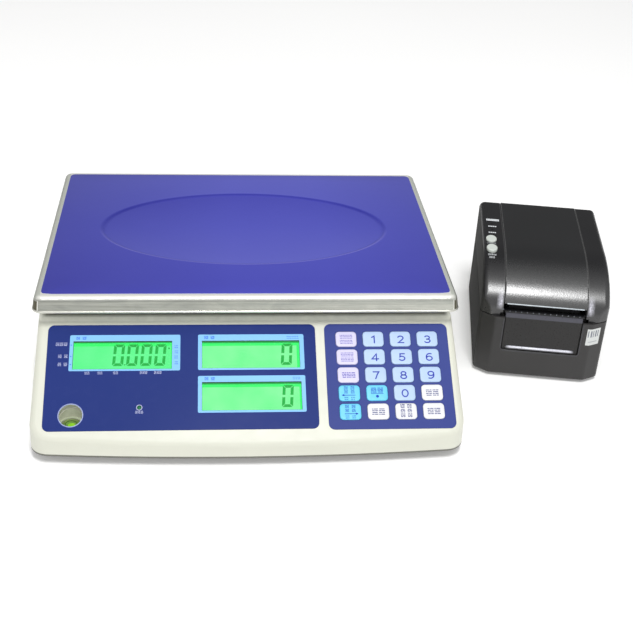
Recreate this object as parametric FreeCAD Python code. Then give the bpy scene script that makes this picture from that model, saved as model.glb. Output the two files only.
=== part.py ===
import FreeCAD, Part
import math
import os
from FreeCAD import Vector as V

# Counting scale with a separate label printer standing at its right.
# Millimetres. +X to the right of a person at the keys, +Y away from them, +Z up.
# Everything is first built with x=0 at the middle of the scale, y=0 at the middle
# of its pan and z=0 on the table, then moved so that the origin is the middle of
# the whole set's footprint.

# ---------------------------------------------------------------- dimensions
ORIGIN_X, ORIGIN_Y = 81.026, -40.25      # middle of the set's footprint

# weighing pan
PAN_HX, PAN_HY = 170.0, 122.5           # half sizes at the hem
PAN_TOP_HX, PAN_TOP_HY = 167.6, 120.1   # half sizes at the top edge
PAN_BOTTOM, FILM_TOP = 90.0, 103.5
FILM_T, PAN_T = 0.3, 1.2
FILM_HX, FILM_HY, FILM_R = 162.6, 114.3, 5.0
OVAL_A, OVAL_B, OVAL_DEEP, OVAL_SLOPE = 125.5, 69.5, 1.1, 3.2
OVAL_Y = 3.1                            # the oval sits a little behind the middle

# scale housing
BASE_Z, SPLIT_Z, DECK_Z = 8.0, 10.0, 82.0
HW_BOTTOM, HW_DECK = 168.5, 166.6       # half widths, drafted sides
REAR_Y, FRONT_MID_Y, FRONT_R = 118.0, -203.0, 2048.3
CORNER_FRONT, CORNER_REAR = 15.0, 10.0
WALL = 2.5
TILT = 32.5                             # control panel, degrees from horizontal
PANEL_Y, PANEL_Z = -117.3, 76.2         # top edge of the control panel
EDGE_R = 5.0

# control panel, u to the right, v down the slope
DISP = (-157.8, 53.5, 0.0, 89.4)
KEYP = (60.9, 160.8, 0.0, 90.4)
OVERLAY_R, OVERLAY_T, OVERLAY_PROUD = 5.0, 0.6, 0.1
WINDOWS = [(-137.7, -60.4, 14.1, 38.3), (-37.0, 40.6, 14.2, 38.1), (-37.0, 41.0, 49.8, 73.7)]
LEVEL_U, LEVEL_V, LEVEL_R = -136.9, 76.5, 9.45
WELL_FLOOR, WELL_LEDGE, VIAL_R = 20.5, 27.0, 7.6
LED_U, LED_V, LED_R = -84.9, 70.6, 1.7
KEY_U = [78.2, 100.1, 122.0, 143.9]
KEY_V = [13.7, 29.3, 44.9, 60.4, 76.0]
KEY_W, KEY_H, KEY_R = 16.8, 13.3, 3.0
KEY_TOP, KEY_BOTTOM, KEY_GAP = 0.9, -1.9, 0.2

# levelling feet and machine parts
FEET = {"front_left": (-138, -158), "front_right": (138, -158), "rear_left": (-138, 88), "rear_right": (138, 88)}
STUD_R, STUD_CLEAR = 4.0, 0.06
SCREWS = [(sx * 160.5, y) for sx in (-1, 1) for y in (104, -20, -150)]
CELL = (130.0, 30.0, 22.0)
CELL_Z = 24.0
COLUMN = (38.0, 32.0)
DECK_HOLE = (46.0, 40.0)
ARM_END = (130.0, 85.0)

# label printer, u across, w from the front to the back
PR_X, PR_Y, PR_TURN = 252.75, -87.2, -10.0
PR_W, PR_D, PR_H = 108.0, 155.0, 97.0
PR_CU, PR_CW = 13.0, 8.0
PR_FLOOR, PR_SPLIT = 3.0, 60.0
PR_WALL = 2.5
LID_HALF, LID_PROUD = 34.7, 1.2
PR_R, LID_REAR_R = 5.0, 6.0               # rounding of the housing, of the lid's rear edge
SEAM_H, SEAM_D = 0.9, 1.1                # groove where the two housings meet
HINGE_W, HINGE_Z, HINGE_R = 145.0, 88.0, 1.5
PLATEN_W, PLATEN_Z, PLATEN_R, SHAFT_R = 15.5, 57.0, 6.5, 2.5
GEAR_M, GEAR_N, PINION_N, GEAR_DIST = 0.75, 24, 12, 13.6
PINION_W = 25.0
PINION_Z = PLATEN_Z - math.sqrt(GEAR_DIST ** 2 - (PINION_W - PLATEN_W) ** 2)
ROLL_W, ROLL_Z, ROLL_R, CORE_R, ROLL_HALF = 95.0, 50.0, 37.0, 12.7, 29.0

NODES = {}


# ------------------------------------------------------------------- helpers
def box(x0, y0, z0, x1, y1, z1):
    return Part.makeBox(x1 - x0, y1 - y0, z1 - z0, V(x0, y0, z0))


def cyl(x, y, z, r, h, d=(0, 0, 1)):
    return Part.makeCylinder(r, h, V(x, y, z), V(*d))


def fuse(shapes):
    out = shapes[0]
    if len(shapes) > 1:
        out = out.fuse(shapes[1:])
    return out.removeSplitter()


def cut(shape, tools):
    return shape.cut(tools) if tools else shape


def rwire(x0, y0, x1, y1, r, z):
    k = r * (1 - math.sqrt(0.5))
    e = [Part.LineSegment(V(x0 + r, y0, z), V(x1 - r, y0, z)),
         Part.Arc(V(x1 - r, y0, z), V(x1 - k, y0 + k, z), V(x1, y0 + r, z)),
         Part.LineSegment(V(x1, y0 + r, z), V(x1, y1 - r, z)),
         Part.Arc(V(x1, y1 - r, z), V(x1 - k, y1 - k, z), V(x1 - r, y1, z)),
         Part.LineSegment(V(x1 - r, y1, z), V(x0 + r, y1, z)),
         Part.Arc(V(x0 + r, y1, z), V(x0 + k, y1 - k, z), V(x0, y1 - r, z)),
         Part.LineSegment(V(x0, y1 - r, z), V(x0, y0 + r, z)),
         Part.Arc(V(x0, y0 + r, z), V(x0 + k, y0 + k, z), V(x0 + r, y0, z))]
    return Part.Wire([s.toShape() for s in e])


def rbox(x0, y0, z0, x1, y1, z1, r):
    return Part.Face(rwire(x0, y0, x1, y1, r, z0)).extrude(V(0, 0, z1 - z0))


def poly(points, vec):
    pts = [V(*p) for p in points]
    return Part.Face(Part.makePolygon(pts + [pts[0]])).extrude(V(*vec))


def yz_prism(pts, x0, x1):
    return poly([(x0, y, z) for y, z in pts], (x1 - x0, 0, 0))


def loft(wires):
    return Part.makeLoft(wires, True, True)


def fillet(shape, r, test, name=""):
    edges = [e for e in shape.Edges if test(e)]
    for k in (1.0, 0.8, 0.6, 0.4):
        try:
            out = shape.makeFillet(r * k, edges)
            if out.isValid() and abs(out.Volume) > 0.5 * abs(shape.Volume):
                return out
        except Exception:
            pass
    print("fillet left out:", name, r)
    return shape


def mid(e):
    return e.valueAt((e.FirstParameter + e.LastParameter) / 2)


def panel(shape):
    """From panel coordinates (u, -v, outward) to the scale."""
    s = shape.copy()
    s.rotate(V(0, 0, 0), V(1, 0, 0), TILT)
    s.translate(V(0, PANEL_Y, PANEL_Z))
    return s


def printer(shape):
    """From printer coordinates (u, w, z) to the scale."""
    s = shape.copy()
    s.rotate(V(0, 0, 0), V(0, 0, 1), PR_TURN)
    s.translate(V(PR_X, PR_Y, 0))
    return s


def node(name, shapes):
    shapes = shapes if isinstance(shapes, list) else [shapes]
    solids = [s for sh in shapes for s in sh.Solids]
    bad = [s for s in solids if not s.isValid()]
    if bad:
        print("invalid solid in", name)
    NODES[name] = solids[0] if len(solids) == 1 else Part.makeCompound(solids)


# ------------------------------------------------------------- scale housing
def plan_wire(off, hw, z):
    """Outline of the housing: straight sides, bowed front, rounded corners."""
    big, rc, rr = FRONT_R - off, CORNER_FRONT - off, CORNER_REAR - off
    cy = FRONT_MID_Y + FRONT_R
    hw, yr = hw - off, REAR_Y - off
    cx = hw - rc
    ccy = cy - math.sqrt((big - rc) ** 2 - cx ** 2)
    tx, ty = cx * big / (big - rc), cy + (ccy - cy) * big / (big - rc)
    a0 = math.atan2(ty - ccy, tx - cx) / 2.0
    k = rr * (1 - math.sqrt(0.5))
    mr = (cx + rc * math.cos(a0), ccy + rc * math.sin(a0))
    e = [Part.Arc(V(-tx, ty, z), V(0, cy - big, z), V(tx, ty, z)),
         Part.Arc(V(tx, ty, z), V(mr[0], mr[1], z), V(hw, ccy, z)),
         Part.LineSegment(V(hw, ccy, z), V(hw, yr - rr, z)),
         Part.Arc(V(hw, yr - rr, z), V(hw - k, yr - k, z), V(hw - rr, yr, z)),
         Part.LineSegment(V(hw - rr, yr, z), V(-hw + rr, yr, z)),
         Part.Arc(V(-hw + rr, yr, z), V(-hw + k, yr - k, z), V(-hw, yr - rr, z)),
         Part.LineSegment(V(-hw, yr - rr, z), V(-hw, ccy, z)),
         Part.Arc(V(-hw, ccy, z), V(-mr[0], mr[1], z), V(-tx, ty, z))]
    return Part.Wire([s.toShape() for s in e])


def housing_solid(off, z0):
    t = math.radians(TILT)
    slope = (HW_DECK - HW_BOTTOM) / (DECK_Z - BASE_Z)
    w0, w1 = HW_BOTTOM + slope * (z0 - BASE_Z), HW_BOTTOM + slope * (90 - BASE_Z)
    body = loft([plan_wire(off, w0, z0), plan_wire(off, w1, 90)])
    # side profile: deck, then the tilted panel plane moved inwards by off
    py, pz = PANEL_Y + off * math.sin(t), PANEL_Z - off * math.cos(t)
    zd = DECK_Z - off
    yd = py + (zd - pz) / math.tan(t)
    vend = (py + 240) / math.cos(t)
    prof = [(200, z0 - 5), (200, zd), (yd, zd), (-240, pz - vend * math.sin(t)), (-240, z0 - 5)]
    return body.common(yz_prism(prof, -300, 300))


outer = housing_solid(0.0, SPLIT_Z)
outer = fillet(outer, EDGE_R, lambda e: mid(e).z > SPLIT_Z + 6 and not (
    abs(e.Vertexes[0].Z - e.Vertexes[-1].Z) > 20 and abs(e.Vertexes[0].Y - e.Vertexes[-1].Y) < 3
    and abs(mid(e).x) > 140 and (mid(e).y > 100 or mid(e).y < -170)) and mid(e).z > 16, "housing")
inner = housing_solid(WALL, SPLIT_Z - 3)
inner = inner.cut(box(-300, -300, -10, 300, 300, SPLIT_Z - 1))
shell = outer.cut(inner)

adds = []
for x, y in SCREWS:
    adds.append(cyl(x, y, 12.0, 4.0, 80))
well_y = PANEL_Y - LEVEL_V * math.cos(math.radians(TILT))
adds.append(cyl(LEVEL_U, well_y, WELL_FLOOR - 2, 13.0, 40))
adds.append(rbox(-DECK_HOLE[0] / 2 - 2, -DECK_HOLE[1] / 2 - 2, DECK_Z - WALL - 4, DECK_HOLE[0] / 2 + 2, DECK_HOLE[1] / 2 + 2, DECK_Z - 0.5, 5))
inside = housing_solid(0.6, SPLIT_Z)
adds = [a.common(inside) for a in adds]
collar = rbox(-DECK_HOLE[0] / 2 - 2, -DECK_HOLE[1] / 2 - 2, DECK_Z - 1, DECK_HOLE[0] / 2 + 2, DECK_HOLE[1] / 2 + 2, DECK_Z + 2, 5)
shell = fuse([shell, collar] + adds)

cuts = [rbox(-DECK_HOLE[0] / 2, -DECK_HOLE[1] / 2, 60, DECK_HOLE[0] / 2, DECK_HOLE[1] / 2, 95, 3.5)]
for (u0, u1, v0, v1) in (DISP, KEYP):
    g = 0.15
    cuts.append(panel(rbox(u0 - g, -v1 - g, -(OVERLAY_T - OVERLAY_PROUD), u1 + g, -v0 + g, 3, OVERLAY_R + g)))
for (u0, u1, v0, v1) in WINDOWS:
    cuts.append(panel(box(u0 - 0.1, -v1 - 0.1, -6, u1 + 0.1, -v0 + 0.1, 3)))
cuts.append(panel(rbox(69.0, -83.6, -6, 153.6, -5.4, 3, 3)))
cuts.append(panel(cyl(LEVEL_U, -LEVEL_V, -WALL - 3.5, LEVEL_R, 8)))
cuts.append(cyl(LEVEL_U, well_y, WELL_FLOOR, VIAL_R + 0.2, 60))
cuts.append(cyl(LEVEL_U, well_y, WELL_LEDGE, 10.0, 60).common(housing_solid(WALL + 0.02, SPLIT_Z)))
cuts.append(panel(cyl(LED_U, -LED_V, -8, LED_R + 0.1, 12)))
for x, y in SCREWS:
    cuts.append(cyl(x, y, 9, 1.5, 16))
# rear wall: power module and data port
cuts.append(box(-126.2, 110, 23.8, -71.8, 125, 48.2))
cuts.append(box(46.8, 110, 27.8, 66.2, 125, 37.2))
top_housing = cut(shell, cuts)
node("top_housing", top_housing)

# ---------------------------------------------------------------- base tray
tray = Part.Face(plan_wire(0.0, HW_BOTTOM, BASE_Z)).extrude(V(0, 0, SPLIT_Z - BASE_Z))
tray = fillet(tray, 0.8, lambda e: abs(mid(e).z - BASE_Z) < 0.01, "tray")
rim = Part.Face(plan_wire(2.7, HW_BOTTOM, SPLIT_Z)).extrude(V(0, 0, 6)).cut(
    Part.Face(plan_wire(4.7, HW_BOTTOM, SPLIT_Z - 1)).extrude(V(0, 0, 9)))
parts = [tray, rim]
for x, y in FEET.values():
    parts.append(cyl(x, y, SPLIT_Z - 0.5, 9, 10.5))
for x, y in ((-68, 75), (-68, -75), (100, 75), (100, -75)):
    parts.append(cyl(x, y, SPLIT_Z - 0.5, 5, 3.5))
for y in (-42.0, 60.2):
    parts.append(box(-150, y, SPLIT_Z - 0.5, -80, y + 1.8, 22))
tray = fuse(parts)
cuts = [cyl(x, y, 0, STUD_R + STUD_CLEAR, 40) for x, y in FEET.values()]
for x, y in SCREWS:
    cuts.append(cyl(x, y, 5, 1.7, 12))
    cuts.append(cyl(x, y, 5, 3.3, 4.6))
    cuts.append(cyl(x, y, SPLIT_Z, 4.3, 12))
node("base_tray", cut(tray, cuts))

node("machine_screws", [fuse([cyl(x, y, 8.3, 3.0, 1.3), cyl(x, y, 9.5, 1.5, 14.5)]).cut(
    box(x - 2.2, y - 0.4, 8, x + 2.2, y + 0.4, 8.9)).cut(box(x - 0.4, y - 2.2, 8, x + 0.4, y + 2.2, 8.9)) for x, y in SCREWS])

# ------------------------------------------------------------ levelling feet
for name, (x, y) in FEET.items():
    pad = Part.Face(Part.makePolygon([V(0, 0, 0), V(13.5, 0, 0), V(15, 0, 1.5), V(15, 0, 3.6), V(12.6, 0, 5.2),
                                      V(8.6, 0, 5.6), V(8.6, 0, 7.4), V(STUD_R, 0, 7.4), V(STUD_R, 0, 22), V(3.2, 0, 22.8),
                                      V(0, 0, 22.8), V(0, 0, 0)])).revolve(V(0, 0, 0), V(0, 0, 1), 360)
    notch = [cyl(8.9 * math.cos(a), 8.9 * math.sin(a), 5.8, 0.7, 2) for a in [math.radians(30 * i) for i in range(12)]]
    pad = pad.cut(notch)
    pad.translate(V(x, y, 0))
    node("foot_" + name, pad)

# ------------------------------------------------------- chassis, load cell
plate = rbox(-76, -84, 13, 108, 84, 16, 4)
plate = cut(plate, [rbox(20, 32, 10, 92, 66, 20, 5), rbox(20, -66, 10, 92, -32, 20, 5)])
riser = box(-65, -15, 16, -27, 15, CELL_Z)
stops = [cyl(54, s * 9, 15.5, 3.0, CELL_Z - 0.7 - 15.5) for s in (-1, 1)]
node("chassis_plate", fuse([plate, riser] + stops))

lx, ly, lz = CELL
cell = box(-lx / 2, -ly / 2, CELL_Z, lx / 2, ly / 2, CELL_Z + lz)
zc = CELL_Z + lz / 2
cell = cut(cell, [cyl(-13, -30, zc, 8.2, 60, (0, 1, 0)), cyl(13, -30, zc, 8.2, 60, (0, 1, 0)), box(-13, -30, zc - 3, 13, 30, zc + 3)])
node("load_cell", cell)

# spider: foot on the load cell's free end, column through the deck, four arms
sp_z = CELL_Z + lz
arms = []
for sx in (-1, 1):
    for sy in (-1, 1):
        ex, ey = sx * ARM_END[0], sy * ARM_END[1]
        ln = math.hypot(ex, ey)
        px, py_ = -ey / ln, ex / ln
        pts = [(px * 15, py_ * 15), (ex + px * 9, ey + py_ * 9), (ex - px * 9, ey - py_ * 9), (-px * 15, -py_ * 15)]
        arms.append(poly([(a, b, 87.0) for a, b in pts], (0, 0, 5)))
        pts = [(px * 2.2, py_ * 2.2), (ex + px * 2.2, ey + py_ * 2.2), (ex - px * 2.2, ey - py_ * 2.2), (-px * 2.2, -py_ * 2.2)]
        arms.append(poly([(a, b, 91.5) for a, b in pts], (0, 0, 4)))
        arms.append(cyl(ex, ey, 87.0, 12, 7))
spider = fuse([box(27, -15, sp_z, 65, 15, sp_z + 6), rbox(-28, -24, sp_z + 5.5, 65, 24, sp_z + 12, 6),
               rbox(-COLUMN[0] / 2, -COLUMN[1] / 2, sp_z + 11, COLUMN[0] / 2, COLUMN[1] / 2, 94, 3)] + arms)
spider = cut(spider, [cyl(sx * ARM_END[0], sy * ARM_END[1], 90.0, 8.0, 8) for sx in (-1, 1) for sy in (-1, 1)])
node("pan_spider", spider)
node("pan_cushions", [cyl(sx * ARM_END[0], sy * ARM_END[1], 90.0, 8.0, FILM_TOP - FILM_T - PAN_T - 90.0)
                      for sx in (-1, 1) for sy in (-1, 1)])


# -------------------------------------------------------------- weighing pan
def oval(a, b, z):
    return Part.Wire([Part.Ellipse(V(0, OVAL_Y, z), a, b).toShape()])


def oval_dish(z_top, depth, up):
    """Solid of the shallow dish, from z_top down by depth, carried up by up."""
    k = OVAL_SLOPE / depth
    return Part.makeLoft([oval(OVAL_A + k * up, OVAL_B + k * up, z_top + up), oval(OVAL_A - OVAL_SLOPE, OVAL_B - OVAL_SLOPE, z_top - depth)], True, True)


pan_z = FILM_TOP - FILM_T
o = loft([rwire(-PAN_HX + 0.4, -PAN_HY + 0.4, PAN_HX - 0.4, PAN_HY - 0.4, 8, PAN_BOTTOM),
          rwire(-PAN_TOP_HX, -PAN_TOP_HY, PAN_TOP_HX, PAN_TOP_HY, 6.5, pan_z)])
o = fillet(o, 4.6, lambda e: abs(mid(e).z - pan_z) < 0.01, "pan")
i_ = loft([rwire(-PAN_HX + 1.6, -PAN_HY + 1.6, PAN_HX - 1.6, PAN_HY - 1.6, 6.8, PAN_BOTTOM - 0.001),
           rwire(-PAN_TOP_HX + PAN_T, -PAN_TOP_HY + PAN_T, PAN_TOP_HX - PAN_T, PAN_TOP_HY - PAN_T, 5.3, pan_z - PAN_T)])
i_ = fillet(i_, 3.4, lambda e: abs(mid(e).z - (pan_z - PAN_T)) < 0.01, "pan inside")
pan = o.cut(i_)
hem = rbox(-PAN_HX, -PAN_HY, PAN_BOTTOM, PAN_HX, PAN_HY, PAN_BOTTOM + 1.8, 8.4)
hem = fillet(hem, 0.7, lambda e: abs(mid(e).z - PAN_BOTTOM - 1.8) < 0.01 or abs(mid(e).z - PAN_BOTTOM) < 0.01, "hem")
hem = hem.cut(rbox(-PAN_HX + 2.2, -PAN_HY + 2.2, PAN_BOTTOM - 1, PAN_HX - 2.2, PAN_HY - 2.2, PAN_BOTTOM + 3, 6.2))
pan = fuse([pan, hem, oval_dish(pan_z - PAN_T, OVAL_DEEP, 0.3)])
pan = pan.cut(oval_dish(pan_z, OVAL_DEEP, 1.0))
node("weighing_pan", pan)
film = rbox(-FILM_HX, -FILM_HY, pan_z, FILM_HX, FILM_HY, FILM_TOP, FILM_R)
film = film.fuse(oval_dish(pan_z, OVAL_DEEP, 0.1)).cut(oval_dish(FILM_TOP, OVAL_DEEP, 1.0))
node("pan_film", film)

# ------------------------------------------------------------- control panel
ob, ot = -(OVERLAY_T - OVERLAY_PROUD), OVERLAY_PROUD
u0, u1, v0, v1 = DISP
sheet = rbox(u0, -v1, ob, u1, -v0, ot, OVERLAY_R)
sheet = cut(sheet, [box(a, -d, -2, b, -c, 2) for a, b, c, d in WINDOWS] +
            [cyl(LEVEL_U, -LEVEL_V, -2, LEVEL_R, 4), cyl(LED_U, -LED_V, -2, LED_R + 0.1, 4)])
node("display_overlay", panel(sheet))

u0, u1, v0, v1 = KEYP
sheet = rbox(u0, -v1, ob, u1, -v0, ot, OVERLAY_R)
kw, kh, g = KEY_W / 2, KEY_H / 2, KEY_GAP
sheet = cut(sheet, [rbox(u - kw - g, -v - kh - g, -2, u + kw + g, -v + kh + g, 2, KEY_R + g) for u in KEY_U for v in KEY_V])
node("keypad_overlay", panel(sheet))

for r, v in enumerate(KEY_V):
    for c, u in enumerate(KEY_U):
        k = rbox(u - kw, -v - kh, KEY_BOTTOM, u + kw, -v + kh, KEY_TOP, KEY_R)
        k = fillet(k, 0.6, lambda e: abs(mid(e).z - KEY_TOP) < 0.01, "key")
        node("key_r%dc%d" % (r + 1, c + 1), panel(k))

pad = rbox(66.0, -86.5, -WALL - 1.6, 155.8, -2.5, -WALL, 2)
node("keypad_board", panel(pad))

mods = []
for a, b, c, d in WINDOWS:
    m = box(a - 3.5, -d - 3.5, -WALL - 5.5, b + 3.5, -c + 3.5, -WALL)
    g_ = box(a + 0.1, -d + 0.1, -WALL - 0.5, b - 0.1, -c - 0.1, -1.4)
    mods.append(panel(fuse([m, g_])))
node("lcd_modules", mods)

node("charge_led", panel(fuse([cyl(LED_U, -LED_V, -7.0, LED_R, 7.0), Part.makeSphere(LED_R, V(LED_U, -LED_V, 0), V(0, 0, 1), 0, 90, 360).common(
    box(LED_U - 3, -LED_V - 3, -0.5, LED_U + 3, -LED_V + 3, 0.45))])))

vial = cyl(LEVEL_U, well_y, WELL_FLOOR, VIAL_R, 6.7)
vial = fillet(vial, 1.2, lambda e: abs(mid(e).z - WELL_FLOOR - 6.7) < 0.01, "vial")
node("level_vial", vial)

board = rbox(-120, -78, -16.6, 52, -6, -15.0, 2)
chips = [box(-20, -30, -15.1, 4, -12, -12.6), box(20, -60, -15.1, 34, -46, -11.0), box(-80, -50, -15.1, -62, -36, -12.0),
         cyl(-100, -24, -15.1, 4, 3.8), cyl(-88, -24, -15.1, 4, 3.8), box(30, -24, -15.1, 46, -12, -11.2)]
node("main_board", panel(fuse([board] + chips)))

batt = fillet(box(-148, -40, SPLIT_Z, -80, 60, 57), 2.0, lambda e: abs(e.Vertexes[0].Z - e.Vertexes[-1].Z) > 30, "battery")
node("battery", fuse([batt, box(-112, 48, 56.5, -107, 55, 60), box(-122, 48, 56.5, -117, 55, 60)]))

# power module on the rear wall: flange, body, socket with three blades, switch well
mod = fuse([rbox(-128, 22, 0, -70, 50, 1.5, 3), box(-126, 24, -19, -72, 48, 0.5)])
mod = cut(mod, [rbox(-124, 28, -14.5, -100, 44, 5, 2.5), rbox(-95, 28, -13.5, -73, 44, 5, 0.8)])
mod = fuse([mod, box(-116.5, 38, -15, -112.5, 40, -3.0), box(-121.5, 32, -15, -119.5, 36, -3.0), box(-104.5, 32, -15, -102.5, 36, -3.0)])
mod.rotate(V(0, 0, 0), V(1, 0, 0), 90)
# after the turn: local (x, y, z) -> (x, -z, y); outward must be +Y
mod = mod.mirror(V(0, 0, 0), V(0, 1, 0))
mod.translate(V(0, REAR_Y, 0))
node("power_inlet", mod)

# rocker: pivot along X inside the switch well, tipped to its on side at rest
RK_Y, RK_Z, RK_TIP = REAR_Y - 5.5, 36.0, 8.0
rk = yz_prism([(7.2, 6.5), (5.4, 0.0), (7.2, -6.5), (0.5, -6.2), (-2.5, -3.0), (-2.5, 3.0), (0.5, 6.2)], -94.3, -73.7)
rk = fillet(rk, 0.6, lambda e: abs(mid(e).y - 7.2) < 0.1, "rocker")
rk.rotate(V(0, 0, 0), V(1, 0, 0), RK_TIP)
rk.translate(V(0, RK_Y, RK_Z))
node("power_rocker", rk)

# nine-way data port
flange = fillet(box(41, REAR_Y, 26.2, 72, REAR_Y + 1.0, 38.8), 1.5, lambda e: abs(e.Vertexes[0].Y - e.Vertexes[-1].Y) > 0.5, "port")
dsh = poly([(48.2, REAR_Y - 6, 28.6), (64.8, REAR_Y - 6, 28.6), (66.1, REAR_Y - 6, 36.4), (46.9, REAR_Y - 6, 36.4)], (0, 10.3, 0))
dsh = fillet(dsh, 1.6, lambda e: abs(e.Vertexes[0].Y - e.Vertexes[-1].Y) > 5, "port shell")
holes = [cyl(50.5 + 2.75 * i, REAR_Y + 5, 34.2, 0.55, 6, (0, -1, 0)) for i in range(5)] + \
        [cyl(51.9 + 2.75 * i, REAR_Y + 5, 30.9, 0.55, 6, (0, -1, 0)) for i in range(4)]
nuts = [cyl(x, REAR_Y + 0.5, 32.5, 2.4, 3.7, (0, 1, 0)).cut(cyl(x, REAR_Y + 1.5, 32.5, 1.3, 5, (0, 1, 0))) for x in (44.2, 68.8)]
node("data_port", cut(fuse([flange, dsh] + nuts), holes))


# -------------------------------------------------------------- label printer
def pr_plan(off, z0, z1):
    h, c, w = PR_W / 2 - off, PR_CU, PR_CW
    # chamfer moved inwards by off along its own normal
    n = math.hypot(c, w)
    k = off * n / c
    m = off * n / w
    full = [(-PR_W / 2, PR_D), (-PR_W / 2, w), (-PR_W / 2 + c, 0), (PR_W / 2 - c, 0), (PR_W / 2, w), (PR_W / 2, PR_D)]
    if off == 0:
        pts = full
    else:
        # chamfer line: (x + W/2)/c + y/w = 1 shifted to + off
        rhs = 1 + off * n / (c * w)
        xa = -PR_W / 2 + off
        ya = w * (rhs - (xa + PR_W / 2) / c)
        yb = off
        xb = -PR_W / 2 + c * (rhs - yb / w)
        pts = [(-h, PR_D - off), (xa, ya), (xb, yb), (-xb, yb), (-xa, ya), (h, PR_D - off)]
    return poly([(a, b, z0) for a, b in pts], (0, 0, z1 - z0))


def pr_top(y):
    """Height of the top surface at depth y."""
    if y >= 66:
        return PR_H
    return PR_H - 33.0 + 33.0 * math.sqrt(max(0.0, 1 - ((66 - y) / 63.0) ** 2))


def vertical(e):
    return abs(e.Vertexes[0].Z - e.Vertexes[-1].Z) > 5 and abs(e.Vertexes[0].X - e.Vertexes[-1].X) < 0.1 and abs(e.Vertexes[0].Y - e.Vertexes[-1].Y) < 0.1


def pr_profile(off, x0, x1, zlow):
    """Side profile: flat top, then an elliptical fall to the front."""
    top, wa = PR_H - off, 66.0
    rz, rw = 33.0, 63.0
    pts = []
    for i in range(0, 25):
        a = math.radians(90 * i / 24.0)
        w = wa - (rw - off) * math.sin(a)
        z = top - rz + rz * math.cos(a)
        pts.append(V(x0, w, z))
    c = Part.BSplineCurve()
    c.interpolate(pts, False)
    a0, a1 = pts[0], pts[-1]
    edges = [c.toShape(), Part.makeLine(a1, V(x0, a1.y, zlow)), Part.makeLine(V(x0, a1.y, zlow), V(x0, 170, zlow)),
             Part.makeLine(V(x0, 170, zlow), V(x0, 170, top)), Part.makeLine(V(x0, 170, top), a0)]
    return Part.Face(Part.Wire(Part.__sortEdges__(edges))).extrude(V(x1 - x0, 0, 0))


# upper housing: two side pods joined by the rear wall, open in the middle for the lid
blk = pr_plan(0, PR_SPLIT, 120)
blk = fillet(blk, PR_R, vertical, "printer corners")
up = blk.common(pr_profile(0, -60, 60, PR_SPLIT - 5))
up = fillet(up, PR_R, lambda e: not vertical(e) and ((mid(e).z > PR_SPLIT + 4 and abs(mid(e).x) > 50) or
                                                    (abs(mid(e).y - PR_D) < 0.1 and abs(mid(e).z - PR_H) < 0.1)), "printer top edges")
cav = pr_plan(PR_WALL, PR_SPLIT - 2, 120).common(pr_profile(PR_WALL, -60, 60, PR_SPLIT - 5))
cav = fillet(cav, PR_R - PR_WALL, lambda e: abs(mid(e).y - PR_D + PR_WALL) < 0.1 and abs(mid(e).z - PR_H + PR_WALL) < 0.1 and abs(mid(e).x) < 40, "printer rear inside")
hood = up.cut(cav)
hood = hood.cut(pr_plan(-1.0, PR_SPLIT - 1, PR_SPLIT + SEAM_H).cut(pr_plan(SEAM_D, PR_SPLIT - 2, PR_SPLIT + 2)))
mouth = [box(-35, -5, PR_SPLIT - 1, 35, PR_D - 20, 120), box(-35, PR_D - 25, 76.0, 35, PR_D + 5, 120)]
hood = cut(hood, mouth)
ribs = [box(s * 35 if s > 0 else -37.2, 6, PR_SPLIT, 37.2 if s > 0 else -35, PR_D - 1.2, 120).common(up) for s in (-1, 1)]
hood = fuse([hood] + ribs)
hcuts = [cyl(-50, HINGE_W, HINGE_Z, HINGE_R, 100, (1, 0, 0)).common(box(-36.5, 100, 50, 36.5, 160, 100)),
         box(-37.4, -2, PR_SPLIT - 1, -34.9, 24, 63.2), box(34.9, -2, PR_SPLIT - 1, 37.4, 24, 63.2)]
BTN = {"feed_button": (-46.4, 73.0), "pause_button": (-46.4, 55.5)}


def oval_cyl(x, y, a, b, z0, z1):
    e = Part.Ellipse(V(0, 0, 0), max(a, b), min(a, b)).toShape()
    f = Part.Face(Part.Wire([e])).extrude(V(0, 0, z1 - z0))
    if b > a:
        f.rotate(V(0, 0, 0), V(0, 0, 1), 90)
    f.translate(V(x, y, z0))
    return f


for x, y in BTN.values():
    hcuts.append(oval_cyl(x, y, 4.7 + 0.25, 6.3 + 0.25, 88, 100))
hood = cut(hood, hcuts)
hood = fillet(hood, 0.5, lambda e: abs(abs(mid(e).x) - 35) < 0.02 and mid(e).z > PR_SPLIT + 6 and mid(e).y < 120 and abs(e.Vertexes[0].Z - pr_top(e.Vertexes[0].Y)) < 0.3 and abs(mid(e).z - pr_top(mid(e).y)) < 0.3, "mouth edges")
node("printer_hood", printer(hood))
for name, (x, y) in BTN.items():
    b = oval_cyl(x, y, 4.7, 6.3, 89.5, 98.3)
    b = fillet(b, 0.9, lambda e: abs(mid(e).z - 98.3) < 0.01, "button")
    node(name, printer(b))

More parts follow.
